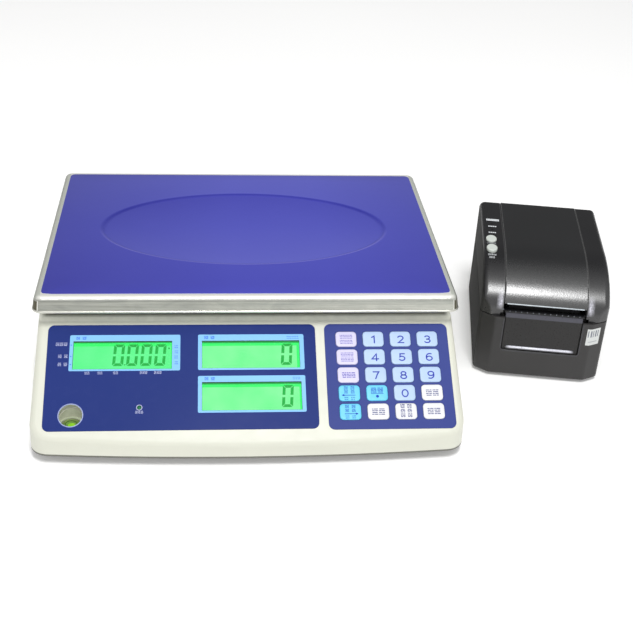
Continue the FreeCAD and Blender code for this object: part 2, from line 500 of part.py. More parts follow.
# lower body
low = pr_plan(0, PR_FLOOR, PR_SPLIT)
low = fillet(low, PR_R, vertical, "printer corners low")
low = fillet(low, 1.5, lambda e: abs(mid(e).z - PR_FLOOR) < 0.01, "printer bottom")
lcav = pr_plan(PR_WALL, PR_FLOOR + PR_WALL, PR_SPLIT + 1)
low = low.cut(lcav)
walls = [box(s * 35 if s > 0 else -37, 10, PR_FLOOR + 1, 37 if s > 0 else -35, PR_D - 1.5, PR_SPLIT) for s in (-1, 1)]
bear = [box(33.4 if s > 0 else -37, 8, 48, 37 if s > 0 else -33.4, 22, 62.8) for s in (-1, 1)]
hubs = [cyl(s * 35, ROLL_W, ROLL_Z, CORE_R - 0.4, 11, (-s, 0, 0)) for s in (-1, 1)]
low = fuse([low] + walls + bear + hubs)
pc = [box(-32.8, -5, 28.0, 32.8, 2.6, PR_SPLIT + 1),
      cyl(-50, PLATEN_W, PLATEN_Z, SHAFT_R + 0.05, 100, (1, 0, 0)).common(box(-38, 0, 0, 38, 40, 90)),
      cyl(30, PINION_W, PINION_Z, 1.6, 10, (1, 0, 0)).common(box(34, 0, 0, 38, 60, 90)),
      box(-48.4, PR_D - 4, 14.0, -40, PR_D + 2, 26.2), box(-48.4, PR_D - 4, 32.0, -38.5, PR_D + 2, 43.2)]
low = cut(low, pc)
low = fillet(low, 0.8, lambda e: abs(mid(e).y) < 0.02 and abs(mid(e).x) < 33 and mid(e).z > 27 and mid(e).z < PR_SPLIT - 1, "recess edges")
node("printer_base", printer(low))

# front cover in its recess, with a rolled lip along the bottom
cov = yz_prism([(1.4, 28.3), (4.4, 28.3), (4.4, 63.8), (2.9, 63.8), (1.4, 59.6)], -32.5, 32.5)
cov = fillet(cov, 0.6, lambda e: mid(e).y < 3.0 and mid(e).z > 29, "cover")
roll = cyl(-29.5, 1.7, 29.9, 1.5, 59, (1, 0, 0))
hooks = [box(-34.6, 2.5, 34, -32.3, 4.4, 40), box(32.3, 2.5, 34, 34.6, 4.4, 40)]
node("front_cover", printer(fuse([cov, roll] + hooks)))

# tear bar with a serrated edge
bar = fuse([box(-33.5, 2.4, 63.85, 33.5, 8.0, 64.65)] + [box(33.4 if s > 0 else -34.8, 7.0, 62.8, 34.8 if s > 0 else -33.4, 12.0, 64.65) for s in (-1, 1)])
teeth = [poly([(-33.5 + 1.675 * i, 2.4, 64.6), (-33.5 + 1.675 * (i + 1), 2.4, 64.6), (-33.5 + 1.675 * (i + 0.5), 2.4, 66.0)], (0, 0.6, 0)) for i in range(40)]
node("tear_bar", printer(fuse([bar] + teeth)))

# lid: arched shell over the middle, side flanges, hinge knuckles, head bracket
lo = pr_profile(-LID_PROUD, -LID_HALF, LID_HALF, 40)
li = pr_profile(1.6, -LID_HALF + 2.0, LID_HALF - 2.0, 30)
lo = lo.common(box(-60, 0, 30, 60, PR_D - 1.0, 120))
lo = fillet(lo, LID_REAR_R, lambda e: abs(mid(e).y - PR_D + 1.0) < 0.1 and abs(mid(e).z - PR_H - LID_PROUD) < 0.1, "lid rear")
li = li.common(box(-60, 0, 20, 60, PR_D - 3.8, 120))
li = fillet(li, LID_REAR_R - 2.6, lambda e: abs(mid(e).y - PR_D + 3.8) < 0.1 and abs(mid(e).z - PR_H + 1.6) < 0.1, "lid rear inside")
lid = lo.cut(li).common(fuse([box(-60, 3.0, 72.0, 60, HINGE_W, 120), box(-60, HINGE_W, 80.0, 60, PR_D - 0.9, 120)]))
lid = fillet(lid, 0.7, lambda e: abs(abs(mid(e).x) - LID_HALF) < 0.05 and mid(e).z > 80 and abs(mid(e).y - 75) < 60, "lid edges")
flange = [yz_prism([(8, 72.5), (18, 88), (60, 93), (150, 93), (150, 90), (60, 89.5), (24, 78), (14, 68)], s * (LID_HALF - 2.2) if s > 0 else -LID_HALF, LID_HALF if s > 0 else -(LID_HALF - 2.2)).common(lo) for s in (-1, 1)]
knuck = []
for s in (-1, 1):
    xa, xb = (20, LID_HALF) if s > 0 else (-LID_HALF, -20)
    knuck.append(cyl(xa, HINGE_W, HINGE_Z, 4.2, xb - xa, (1, 0, 0)))
    knuck.append(box(xa, HINGE_W - 4.2, HINGE_Z, xb, HINGE_W + 4.2, PR_H - 1))
front_bar = yz_prism([(4.0, 72.0), (26, 72.0), (26, 75.5), (10, 75.5), (4.0, 74.5)], -LID_HALF + 1, LID_HALF - 1).common(lo)
lid = fuse([lid, front_bar] + flange + knuck)
lid = cut(lid, [cyl(-60, HINGE_W, HINGE_Z, HINGE_R + 0.05, 120, (1, 0, 0)), cyl(-19.9, HINGE_W, HINGE_Z, 7.0, 39.8, (1, 0, 0)).common(box(-19.9, 100, 40, 19.9, 155, 94))])
node("printer_lid", printer(lid))
node("lid_hinge_pin", printer(cyl(-36.5, HINGE_W, HINGE_Z, HINGE_R, 73, (1, 0, 0))))
node("print_head", printer(fuse([box(-30, 10.0, 64.0, 30, 26, 68.0), box(-26, 11.0, 67.5, 26, 25, 72.0)])))

# platen, gears, motor
node("platen_roller", printer(fuse([cyl(-31.5, PLATEN_W, PLATEN_Z, PLATEN_R, 63, (1, 0, 0)), cyl(-36.8, PLATEN_W, PLATEN_Z, SHAFT_R, 78.8, (1, 0, 0))])))


def gear(n, m, x0, x1, cy_, cz_, phase, bore):
    r = n * m / 2.0
    pitch = 2 * math.pi / n
    pts = []
    for i in range(n):
        a = phase + i * pitch
        for da, rr in ((-0.34, r - 1.12 * m), (-0.215, r), (-0.10, r + 0.9 * m), (0.10, r + 0.9 * m), (0.215, r), (0.34, r - 1.12 * m)):
            t = a + da * pitch
            pts.append((x0, cy_ + rr * math.cos(t), cz_ + rr * math.sin(t)))
    g = poly(pts, (x1 - x0, 0, 0))
    return g.cut(cyl(x0 - 1, cy_, cz_, bore, x1 - x0 + 2, (1, 0, 0))) if bore else g


to_pinion = math.atan2(PINION_Z - PLATEN_Z, PINION_W - PLATEN_W)
node("platen_gear", printer(gear(GEAR_N, GEAR_M, 38.4, 41.6, PLATEN_W, PLATEN_Z, to_pinion, SHAFT_R)))
pin = gear(PINION_N, GEAR_M, 38.2, 41.8, PINION_W, PINION_Z, to_pinion + math.pi + math.pi / PINION_N, 0)
node("motor_pinion", printer(fuse([pin, cyl(41.0, PINION_W, PINION_Z, 1.0, 7.5, (1, 0, 0))])))
motor = fuse([cyl(43.4, PINION_W, PINION_Z, 12.0, 8.0, (1, 0, 0)), box(43.4, PINION_W - 2.5, PINION_Z - 17, 44.4, PINION_W + 2.5, PINION_Z + 17),
              cyl(42.4, PINION_W, PINION_Z, 3.0, 1.5, (1, 0, 0))])
node("stepper_motor", printer(motor.cut(cyl(42.0, PINION_W, PINION_Z, 1.06, 7.0, (1, 0, 0)))))
rl = cyl(-ROLL_HALF, ROLL_W, ROLL_Z, ROLL_R, 2 * ROLL_HALF, (1, 0, 0)).cut(cyl(-40, ROLL_W, ROLL_Z, CORE_R, 80, (1, 0, 0)))
node("label_roll", printer(rl))

pcb = box(-46.6, 30, 9, -45.0, PR_D - 8, 56)
usb = fuse([box(-47.9, PR_D - 20, 14.4, -40.4, PR_D - 1.5, 25.8), box(-45.2, PR_D - 20, 14.4, -40.4, PR_D - 8.5, 25.8)])
usb = usb.cut(box(-46.9, PR_D - 6, 15.6, -41.4, PR_D, 24.6)).fuse(box(-45.2, PR_D - 7, 17.6, -43.2, PR_D - 2.2, 22.6))
jack = box(-48.1, PR_D - 18, 32.4, -39.0, PR_D - 1.5, 42.8).cut(cyl(-43.6, PR_D - 12, 37.6, 3.0, 15, (0, 1, 0))).fuse(cyl(-43.6, PR_D - 13, 37.6, 1.0, 10, (0, 1, 0)))
chips = [box(-45.1, 50, 20, -42.8, 66, 36), box(-45.1, 80, 30, -43.2, 92, 42), cyl(-45.1, 110, 45, 4, 7, (1, 0, 0))]
node("printer_board", printer(fuse([pcb, usb, jack] + chips)))
node("printer_feet", [printer(cyl(x, y, 0, 6, PR_FLOOR)) for x in (-42, 42) for y in (16, 142)])

# --------------------------------------------------------------------- export
whole = Part.makeCompound([s for s in NODES.values()])
bb = whole.optimalBoundingBox() if hasattr(whole, "optimalBoundingBox") else whole.BoundBox
print("box before the move: x %.3f %.3f  y %.3f %.3f  z %.3f %.3f" % (bb.XMin, bb.XMax, bb.YMin, bb.YMax, bb.ZMin, bb.ZMax))
print("middle: %.3f %.3f" % ((bb.XMin + bb.XMax) / 2, (bb.YMin + bb.YMax) / 2))
os.makedirs("parts", exist_ok=True)
for name, shape in NODES.items():
    s = shape.copy()
    s.translate(V(-ORIGIN_X, -ORIGIN_Y, 0))
    s.exportStep("parts/%s.step" % name)
print(len(NODES), "nodes")
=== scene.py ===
import bpy
import bmesh
import math
from mathutils import Matrix, Vector


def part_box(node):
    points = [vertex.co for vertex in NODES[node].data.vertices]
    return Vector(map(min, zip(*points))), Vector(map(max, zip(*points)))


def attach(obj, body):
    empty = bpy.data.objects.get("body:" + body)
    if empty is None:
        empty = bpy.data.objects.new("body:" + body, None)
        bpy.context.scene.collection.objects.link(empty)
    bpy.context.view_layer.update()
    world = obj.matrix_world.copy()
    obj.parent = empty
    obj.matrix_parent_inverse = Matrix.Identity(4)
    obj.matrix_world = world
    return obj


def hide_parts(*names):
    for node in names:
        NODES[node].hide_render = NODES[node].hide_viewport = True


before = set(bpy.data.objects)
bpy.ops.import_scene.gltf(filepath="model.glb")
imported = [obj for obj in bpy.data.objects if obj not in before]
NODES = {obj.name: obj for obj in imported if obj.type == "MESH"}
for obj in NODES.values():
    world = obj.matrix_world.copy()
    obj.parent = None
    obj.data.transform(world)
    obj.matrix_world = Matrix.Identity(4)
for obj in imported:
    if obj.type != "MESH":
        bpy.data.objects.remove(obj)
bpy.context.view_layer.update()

# ------------------------------------------------------------------ the frames
pan_lo, pan_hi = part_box("weighing_pan")
OX, OY = (pan_lo.x + pan_hi.x) / 2, (pan_lo.y + pan_hi.y) / 2
TILT = math.radians(32.5)
M_SCALE = Matrix.Translation((OX, OY, 0))
M_PANEL = M_SCALE @ Matrix.Translation((0, -0.1173, 0.0762)) @ Matrix.Rotation(TILT, 4, "X")
M_PRINTER = M_SCALE @ Matrix.Translation((0.25275, -0.0872, 0)) @ Matrix.Rotation(math.radians(-10), 4, "Z")

WINDOWS = {"weight": (-137.7, -60.4, 14.1, 38.3), "unit": (-37.0, 40.6, 14.2, 38.1), "count": (-37.0, 41.0, 49.8, 73.7)}
FRAMES = {"weight": (-140.4, -54.0, 8.8, 39.7), "unit": (-40.0, 44.0, 8.8, 39.5), "count": (-40.0, 44.1, 44.6, 75.4)}
KEY_U = [78.2, 100.1, 122.0, 143.9]
KEY_V = [13.7, 29.3, 44.9, 60.4, 76.0]
KEY_W, KEY_H, KEY_R, KEY_TOP = 16.8, 13.3, 3.0, 0.9
LEVEL_U, LEVEL_V = -136.9, 76.5
LEVEL_Y = -117.3 - LEVEL_V * math.cos(TILT)
LED_U, LED_V = -84.9, 70.6


# ------------------------------------------------------------------- materials
def lin(c):
    out = []
    for v in c[:3]:
        v = v / 255.0
        out.append(v / 12.92 if v <= 0.04045 else ((v + 0.055) / 1.055) ** 2.4)
    return (out[0], out[1], out[2], 1.0)


class Mat:
    """A small builder for one node material."""

    def __init__(self, name, rough=0.5, metal=0.0, ior=1.45, **sockets):
        self.m = bpy.data.materials.new(name)
        self.m.use_nodes = True
        self.t = self.m.node_tree
        self.t.nodes.clear()
        self.out = self.t.nodes.new("ShaderNodeOutputMaterial")
        self.b = self.t.nodes.new("ShaderNodeBsdfPrincipled")
        self.t.links.new(self.b.outputs[0], self.out.inputs[0])
        self.b.inputs["Roughness"].default_value = rough
        self.b.inputs["Metallic"].default_value = metal
        self.b.inputs["IOR"].default_value = ior
        for k, v in sockets.items():
            self.b.inputs[k.replace("_", " ")].default_value = v
        self.coord = None

    def node(self, kind, **props):
        n = self.t.nodes.new("ShaderNode" + kind)
        for k, v in props.items():
            setattr(n, k, v)
        return n

    def link(self, a, b):
        self.t.links.new(a, b)

    def obj(self):
        if self.coord is None:
            self.coord = self.node("TexCoord").outputs["Object"]
        return self.coord

    def nrm(self):
        return self.node("TexCoord").outputs["Normal"]

    def printer_xyz(self):
        """Position in the printer's own axes, metres."""
        v = self.mapped(kind="TEXTURE", loc=tuple(M_PRINTER.translation), rot=(0, 0, math.radians(-10)))
        return self.xyz(v)

    def near(self, value, middle, half):
        """1 inside middle +- half."""
        return self.math("COMPARE", value, middle, half)

    def inside(self, p, lo, hi):
        """1 inside the box lo..hi of the three outputs p."""
        k = None
        for i in range(3):
            q = self.near(p[i], (lo[i] + hi[i]) / 2, (hi[i] - lo[i]) / 2)
            k = q if k is None else self.math("MULTIPLY", k, q)
        return k

    def mapped(self, scale=(1, 1, 1), loc=(0, 0, 0), rot=(0, 0, 0), kind="POINT", vec=None):
        m = self.node("Mapping", vector_type=kind)
        self.link(vec if vec is not None else self.obj(), m.inputs["Vector"])
        m.inputs["Location"].default_value = loc
        m.inputs["Rotation"].default_value = rot
        m.inputs["Scale"].default_value = scale
        return m.outputs[0]

    def noise(self, scale, detail=2.0, rough=0.5, vec=None, distort=0.0, out=0):
        n = self.node("TexNoise")
        self.link(vec if vec is not None else self.obj(), n.inputs["Vector"])
        n.inputs["Scale"].default_value = scale
        n.inputs["Detail"].default_value = detail
        n.inputs["Roughness"].default_value = rough
        n.inputs["Distortion"].default_value = distort
        return n.outputs[out]

    def voronoi(self, scale, vec=None, feature="F1", out="Distance"):
        n = self.node("TexVoronoi", feature=feature)
        self.link(vec if vec is not None else self.obj(), n.inputs["Vector"])
        n.inputs["Scale"].default_value = scale
        return n.outputs[out]

    def math(self, op, a, b=None, c=None, clamp=False):
        n = self.node("Math", operation=op, use_clamp=clamp)
        for i, v in enumerate((a, b, c)):
            if v is None:
                continue
            if isinstance(v, (int, float)):
                n.inputs[i].default_value = v
            else:
                self.link(v, n.inputs[i])
        return n.outputs[0]

    def xyz(self, vec):
        n = self.node("SeparateXYZ")
        self.link(vec, n.inputs[0])
        return n.outputs

    def ramp(self, fac, stops, interp="LINEAR"):
        n = self.node("ValToRGB")
        n.color_ramp.interpolation = interp
        e = n.color_ramp.elements
        while len(e) > 1:
            e.remove(e[-1])
        e[0].position, e[0].color = stops[0][0], stops[0][1]
        for p, c in stops[1:]:
            x = e.new(p)
            x.color = c
        self.link(fac, n.inputs[0])
        return n.outputs[0]

    def span(self, fac, lo, hi, a=0.3, b=0.7):
        n = self.node("MapRange")
        self.link(fac, n.inputs["Value"])
        n.inputs["From Min"].default_value, n.inputs["From Max"].default_value = a, b
        n.inputs["To Min"].default_value, n.inputs["To Max"].default_value = lo, hi
        return n.outputs["Result"]

    def mix(self, fac, a, b, blend="MIX"):
        n = self.node("Mix", data_type="RGBA", blend_type=blend)
        if isinstance(fac, (int, float)):
            n.inputs[0].default_value = fac
        else:
            self.link(fac, n.inputs[0])
        for i, v in ((6, a), (7, b)):
            if isinstance(v, tuple):
                n.inputs[i].default_value = v
            else:
                self.link(v, n.inputs[i])
        return n.outputs[2]

    def bump(self, height, strength=0.3, dist=0.0001, normal=None):
        n = self.node("Bump")
        n.inputs["Strength"].default_value = strength
        n.inputs["Distance"].default_value = dist
        self.link(height, n.inputs["Height"])
        if normal is not None:
            self.link(normal, n.inputs["Normal"])
        return n.outputs[0]

    def set(self, socket, value):
        if isinstance(value, (int, float, tuple)):
            self.b.inputs[socket].default_value = value
        else:
            self.link(value, self.b.inputs[socket])
        return self

    def edges(self, lo=0.52, hi=0.6):
        """0 on flats, towards 1 on outer edges."""
        g = self.node("NewGeometry")
        return self.span(g.outputs["Pointiness"], 0.0, 1.0, lo, hi)


def shade(c, k):
    return (min(1.0, c[0] * k), min(1.0, c[1] * k), min(1.0, c[2] * k), 1.0)


def plastic(name, rgb, rough=0.4, grain=2200.0, depth=0.00003, strength=0.25, mottle=0.03, cloud=35.0, rvar=0.06, **kw):
    """Moulded plastic: slow tone drift, fine grain in the surface, uneven sheen."""
    m = Mat(name, rough=rough, **kw)
    c = lin(rgb)
    a = m.noise(cloud, 3.0, 0.55)
    f = m.noise(grain, 2.0, 0.6)
    base = m.ramp(a, [(0.3, shade(c, 1 - mottle)), (0.7, shade(c, 1 + mottle))])
    speck = m.ramp(f, [(0.3, (0.94, 0.94, 0.94, 1)), (0.7, (1, 1, 1, 1))])
    m.set("Base Color", m.mix(0.5, base, speck, "MULTIPLY"))
    m.set("Roughness", m.span(m.noise(cloud * 6, 2.0), rough - rvar, rough + rvar))
    m.set("Normal", m.bump(f, strength, depth))
    return m


def brushed(name, rgb, rough=0.3, along="X", streak=1.0, **kw):
    """Brushed metal: long fine streaks, cloudy handling marks."""
    m = Mat(name, rough=rough, metal=1.0, **kw)
    c = lin(rgb)
    fine = {"X": (18, 2600, 2600), "Y": (2600, 18, 2600), "Z": (2600, 2600, 18)}
    s = m.noise(1.0, 3.0, 0.6, vec=m.mapped(fine[along]))
    cloud = m.noise(28.0, 3.0, 0.6, distort=0.6)
    tone = m.ramp(s, [(0.25, shade(c, 0.86)), (0.75, shade(c, 1.12))])
    m.set("Base Color", m.mix(0.55, tone, m.ramp(cloud, [(0.3, (0.8, 0.8, 0.78, 1)), (0.7, (1, 1, 1, 1))]), "MULTIPLY"))
    m.set("Roughness", m.span(s, rough - 0.06, rough + 0.1))
    m.set("Normal", m.bump(s, 0.22 * streak, 0.00002))
    return m


MATS = {}

# scale housing, warm white
m = Mat("housing_white", rough=0.4, ior=1.46)
c = lin((207, 208, 195))
grain = m.noise(2600.0, 2.0, 0.6)
drift = m.noise(14.0, 3.0, 0.5)
base = m.ramp(drift, [(0.3, shade(c, 0.975)), (0.7, shade(c, 1.02))])
specks = m.ramp(m.noise(900.0, 3.0, 0.7), [(0.28, (0.93, 0.925, 0.9, 1)), (0.4, (1, 1, 1, 1))])
whole = m.mix(0.45, base, specks, "MULTIPLY")
lv = m.xyz(m.mapped(kind="TEXTURE", loc=(OX + LEVEL_U / 1000, OY + LEVEL_Y / 1000, 0)))
lr = m.math("SQRT", m.math("ADD", m.math("MULTIPLY", lv[0], lv[0]), m.math("MULTIPLY", lv[1], lv[1])))
well = m.math("LESS_THAN", lr, 0.0106)
# painted shade: the wall of the well round the level is a darker copy of the housing colour
wall = m.ramp(m.noise(160.0, 3.0, 0.6), [(0.3, lin((184, 186, 166))), (0.7, lin((204, 206, 188)))])
whole = m.mix(well, whole, wall)
# under the pan: painted light on the front strip of the deck, and a little dust with a soft darker line just inside the
# outline of the pan on all four sides, that line partly dust and partly painted shade
hp = m.xyz(m.mapped(kind="TEXTURE", loc=(OX, OY, 0)))
# painted light: the front strip of the deck under the pan is lifted towards white against its shade
deck_painted_light = m.math("MULTIPLY", m.span(hp[2], 0.0, 1.0, 0.0774, 0.0786), m.span(hp[1], 1.0, 0.0, -0.100, -0.096))
whole = m.mix(deck_painted_light, whole, m.ramp(m.noise(110.0, 4.0, 0.6), [(0.3, lin((238, 239, 226))), (0.7, lin((253, 254, 240)))]))
gap = m.math("MULTIPLY", m.span(hp[1], 0.0, 1.0, -0.1116, -0.1092), m.span(hp[2], 0.0, 1.0, 0.0785, 0.0795))
# the soft line just inside the pan's outline: partly dust, partly painted shade for the shadow under the pan's edge
ring = m.math("MAXIMUM", m.span(hp[1], 1.0, 0.0, -0.1085, -0.0985), m.span(hp[1], 0.0, 1.0, 0.0960, 0.1060))
ring = m.math("MAXIMUM", ring, m.span(m.math("ABSOLUTE", hp[0]), 0.0, 1.0, 0.1500, 0.1600))
light_dust = m.span(m.noise(60.0, 3.0), 0.25, 0.6)
gap = m.math("MULTIPLY", gap, m.math("MAXIMUM", light_dust, m.math("MULTIPLY", ring, 0.92)))
gap = m.math("MULTIPLY", gap, m.math("MULTIPLY", m.span(m.math("ABSOLUTE", hp[0]), 1.0, 0.0, 0.1600, 0.1640), m.span(hp[1], 1.0, 0.0, 0.106, 0.110)))
# dust colour, and the darker colour of the line that is partly painted shade
m.set("Base Color", m.mix(gap, whole, m.mix(ring, lin((182, 181, 166)), lin((112, 111, 100)))))
m.set("Roughness", m.span(m.noise(120.0, 3.0), 0.34, 0.46))
m.set("Normal", m.bump(grain, 0.22, 0.00003))
MATS["housing"] = m.m
# painted shade: the base tray is dark grey, standing for the shadow under the housing's front edge
MATS["tray"] = plastic("tray_white", (104, 104, 97), rough=0.5, grain=1500.0, depth=0.00005).m

# steel pan: streaks follow each side of the rim
m = Mat("pan_brushed_steel", rough=0.3, metal=1.0)
nn = m.xyz(m.nrm())
nx = m.math("ABSOLUTE", nn[0])
pick = m.span(nx, 0.0, 1.0, 0.45, 0.75)
sx = m.noise(1.0, 3.0, 0.6, vec=m.mapped((14, 2400, 2400)))
sy = m.noise(1.0, 3.0, 0.6, vec=m.mapped((2400, 14, 2400)))
mx = m.node("Mix", data_type="FLOAT")
m.link(pick, mx.inputs[0]); m.link(sx, mx.inputs[2]); m.link(sy, mx.inputs[3])
streak = mx.outputs[0]
cloud = m.noise(30.0, 4.0, 0.62, distort=1.2, vec=m.mapped((0.7, 1, 2.2)))
nz = m.math("ABSOLUTE", nn[2])
up_ = m.span(nz, 0.0, 1.0, 0.30, 0.97)
pp = m.xyz(m.mapped(kind="TEXTURE", loc=(OX, OY, 0)))
ax = m.math("ABSOLUTE", pp[0])
flat_side = m.math("MULTIPLY", m.span(ax, 0.0, 1.0, 0.16255, 0.1629), m.span(m.math("ABSOLUTE", pp[1]), 1.0, 0.0, 0.1150, 0.1178))
low_hem = m.span(pp[2], 1.0, 0.0, 0.0917, 0.0921)
# painted shade: the steel is darker towards the left
pan_painted_side_shade = m.span(pp[0], 0.74, 1.0, -0.16, 0.12)
band = m.noise(1.0, 3.0, 0.6, vec=m.mapped((5, 5, 420)))
face = m.ramp(streak, [(0.25, lin((164, 165, 156))), (0.75, lin((202, 203, 194)))])
face = m.mix(0.75, face, m.ramp(cloud, [(0.3, (0.66, 0.68, 0.69, 1)), (0.56, (1, 1, 1, 1))]), "MULTIPLY")
face = m.mix(0.6, face, m.ramp(band, [(0.34, (0.74, 0.76, 0.78, 1)), (0.56, (1, 1, 1, 1))]), "MULTIPLY")
face = m.mix(1.0, face, m.ramp(pan_painted_side_shade, [(0.0, (0, 0, 0, 1)), (1.0, (1, 1, 1, 1))]), "MULTIPLY")
# painted highlight: steel turned upwards is painted near white, brightest on the front and rear shoulders, a dimmer
# copy on the side margins
crown_painted_highlight = m.ramp(streak, [(0.25, lin((236, 236, 226))), (0.75, lin((252, 252, 247)))])
side_margin_painted_light = m.ramp(streak, [(0.25, lin((204, 208, 198))), (0.75, lin((222, 225, 216)))])
# painted shade: a dark line along each side margin
painted_shade_line = m.near(ax, 0.1668, 0.00035)
side_margin_painted_light = m.mix(m.math("MULTIPLY", painted_shade_line, 0.75), side_margin_painted_light, lin((120, 124, 116)))
top = m.mix(flat_side, crown_painted_highlight, side_margin_painted_light)
# painted highlight: the bottom hem is a lighter copy of the steel
hem_painted_highlight = m.ramp(streak, [(0.25, lin((196, 196, 188))), (0.75, lin((214, 214, 206)))])
m.set("Base Color", m.mix(low_hem, m.mix(up_, face, top), hem_painted_highlight))
# painted highlight: the upward faces are also made less metallic, so they read white
level_part = m.math("MULTIPLY", up_, m.math("SUBTRACT", 1.0, low_hem))
m.set("Metallic", m.math("SUBTRACT", 1.0, m.math("MULTIPLY", level_part, 0.6)))
m.set("Roughness", m.span(cloud, 0.27, 0.40))
m.set("Normal", m.bump(streak, 0.2, 0.00002))
MATS["pan"] = m.m

# violet film
m = Mat("film_violet_satin", rough=0.36, ior=1.48)
fp = m.xyz(m.mapped(kind="TEXTURE", loc=(0, 0.0031, 0)))
ex = m.math("MULTIPLY", fp[0], 1 / 0.1250)
ey = m.math("MULTIPLY", fp[1], 1 / 0.0690)
rad = m.math("SQRT", m.math("ADD", m.math("MULTIPLY", ex, ex), m.math("MULTIPLY", ey, ey)))
inside = m.span(rad, 1.0, 0.0, 0.985, 1.01)
# painted light and shade: the dished middle is lighter towards the front, the margin lighter towards the rear, as the
# sheet turns
t_in = m.span(ey, 1.0, 0.0, -1.0, 1.0)
t_out = m.span(fp[1], 0.0, 1.0, -0.118, 0.112)
t_mix = m.mix(inside, t_out, t_in)
t_n = m.math("ADD", m.math("MULTIPLY", m.noise(9.0, 2.0, 0.5), 0.22), m.math("MULTIPLY", t_mix, 0.78))
base = m.ramp(t_n, [(0.1, lin((69, 71, 172))), (0.5, lin((80, 83, 181))), (0.9, lin((92, 95, 184)))])
# painted light on the front of the dished edge, painted shade in the rear of it
rear = m.math("MULTIPLY", m.math("MULTIPLY", m.span(rad, 0.0, 1.0, 0.955, 0.985), m.span(rad, 1.0, 0.0, 0.992, 1.012)), m.span(ey, 0.0, 0.85, -0.25, 0.5))
front = m.math("MULTIPLY", m.span(m.math("ABSOLUTE", m.math("ADD", rad, -1.0)), 1.0, 0.0, 0.004, 0.016), m.span(ey, 0.85, 0.0, -0.55, -0.05))
base = m.mix(rear, base, lin((38, 39, 142)))
base = m.mix(front, base, lin((122, 120, 208)))
# painted shade: the sheet is darker towards both sides, lightest a little right of the middle
fx = m.math("ABSOLUTE", m.math("ADD", fp[0], -0.03))
fall = m.span(fx, 1.0, 0.76, 0.04, 0.19)
m.set("Base Color", m.mix(1.0, base, m.ramp(fall, [(0.0, (0, 0, 0, 1)), (1.0, (1, 1, 1, 1))]), "MULTIPLY"))
m.set("Roughness", m.span(m.noise(60.0, 3.0), 0.32, 0.42))
m.set("Normal", m.bump(m.noise(1900.0, 2.0, 0.55), 0.14, 0.00002))
MATS["film"] = m.m


def sheet_mat(name, a, b, rough=0.24, spec=0.03):
    m = Mat(name, rough=rough, ior=1.46, Specular_IOR_Level=spec)
    v = m.ramp(m.noise(9.0, 1.0, 0.4), [(0.3, lin(a)), (0.7, lin(b))])
    m.set("Base Color", v)
    m.set("Roughness", m.span(m.noise(140.0, 3.0), rough - 0.05, rough + 0.06))
    m.set("Normal", m.bump(m.noise(2800.0, 2.0, 0.6), 0.1, 0.00002))
    return m.m


MATS["overlay_blue"] = sheet_mat("overlay_blue_sheet", (38, 52, 114), (43, 57, 119))
MATS["overlay_violet"] = sheet_mat("overlay_violet_sheet", (60, 70, 132), (66, 76, 138))
MATS["frame_print"] = sheet_mat("print_light_blue", (128, 184, 232), (136, 192, 238))
MATS["frame_text"] = sheet_mat("print_blue", (34, 78, 206), (46, 90, 216))
MATS["legend_white"] = sheet_mat("print_white", (182, 187, 220), (200, 204, 230))
MATS["ring_print"] = sheet_mat("print_lavender", (188, 190, 220), (200, 202, 228))
MATS["rim_print"] = sheet_mat("print_grey_lavender", (150, 160, 200), (162, 172, 208))
MATS["digit_print"] = sheet_mat("print_periwinkle", (52, 62, 160), (62, 72, 170))
MATS["legend_purple"] = sheet_mat("print_purple", (62, 50, 158), (74, 62, 168))
MATS["legend_navy"] = sheet_mat("print_navy", (30, 58, 168), (38, 68, 178))
MATS["legend_slate"] = sheet_mat("print_slate", (38, 44, 112), (48, 54, 122))


def key_mat(name, rgb):
    m = Mat(name, rough=0.42, ior=1.45)
    c = lin(rgb)
    base = m.ramp(m.noise(60.0, 2.0), [(0.3, shade(c, 0.98)), (0.7, shade(c, 1.02))])
    m.set("Base Color", base)
    m.set("Roughness", m.span(m.noise(300.0, 2.0), 0.38, 0.48))
    m.set("Normal", m.bump(m.noise(2600.0, 2.0, 0.6), 0.18, 0.00002))
    return m.m


MATS["key_blue"] = key_mat("key_pale_blue", (168, 191, 223))
MATS["key_lavender"] = key_mat("key_lavender", (199, 195, 224))
MATS["key_cyan"] = key_mat("key_cyan", (94, 192, 228))
MATS["key_white"] = key_mat("key_white", (216, 217, 220))


def glow(name, a, b, strength=1.0, cloud=45.0, base=(0.001, 0.002, 0.001, 1), rough=0.25, spec=0.02):
    m = Mat(name, rough=rough, ior=1.5, Specular_IOR_Level=spec)
    m.set("Base Color", base)
    m.set("Emission Color", m.ramp(m.noise(cloud, 2.0, 0.45), [(0.3, lin(a)), (0.7, lin(b))]))
    m.set("Emission Strength", strength)
    m.set("Normal", m.bump(m.noise(900.0, 1.0), 0.04, 0.00001))
    return m.m


MATS["lcd_back"] = glow("lcd_backlight", (36, 255, 104), (52, 255, 116))
MATS["lcd_film"] = glow("lcd_polariser", (112, 252, 148), (136, 255, 164))
MATS["lcd_film_weight"] = glow("lcd_polariser_weight", (86, 250, 138), (102, 252, 150))
MATS["lcd_edge"] = glow("lcd_edge_shade", (4, 152, 62), (8, 166, 70), 0.95)
MATS["lcd_digit"] = glow("lcd_segments", (3, 170, 54), (6, 182, 64), 1.0)
# painted shade and light: the bezel is dark for the shade in the window's wall and green for the display's glow on it
MATS["bezel"] = plastic("bezel_dark", (8, 52, 30), rough=0.5).m

# clear window sheet
m = Mat("window_clear", rough=0.12, ior=1.49)
m.set("Base Color", m.ramp(m.noise(20.0), [(0.3, (0.85, 0.95, 0.9, 1)), (0.7, (0.92, 1, 0.95, 1))]))
m.set("Alpha", 0.014)
m.set("Specular IOR Level", 0.1)
MATS["window"] = m.m

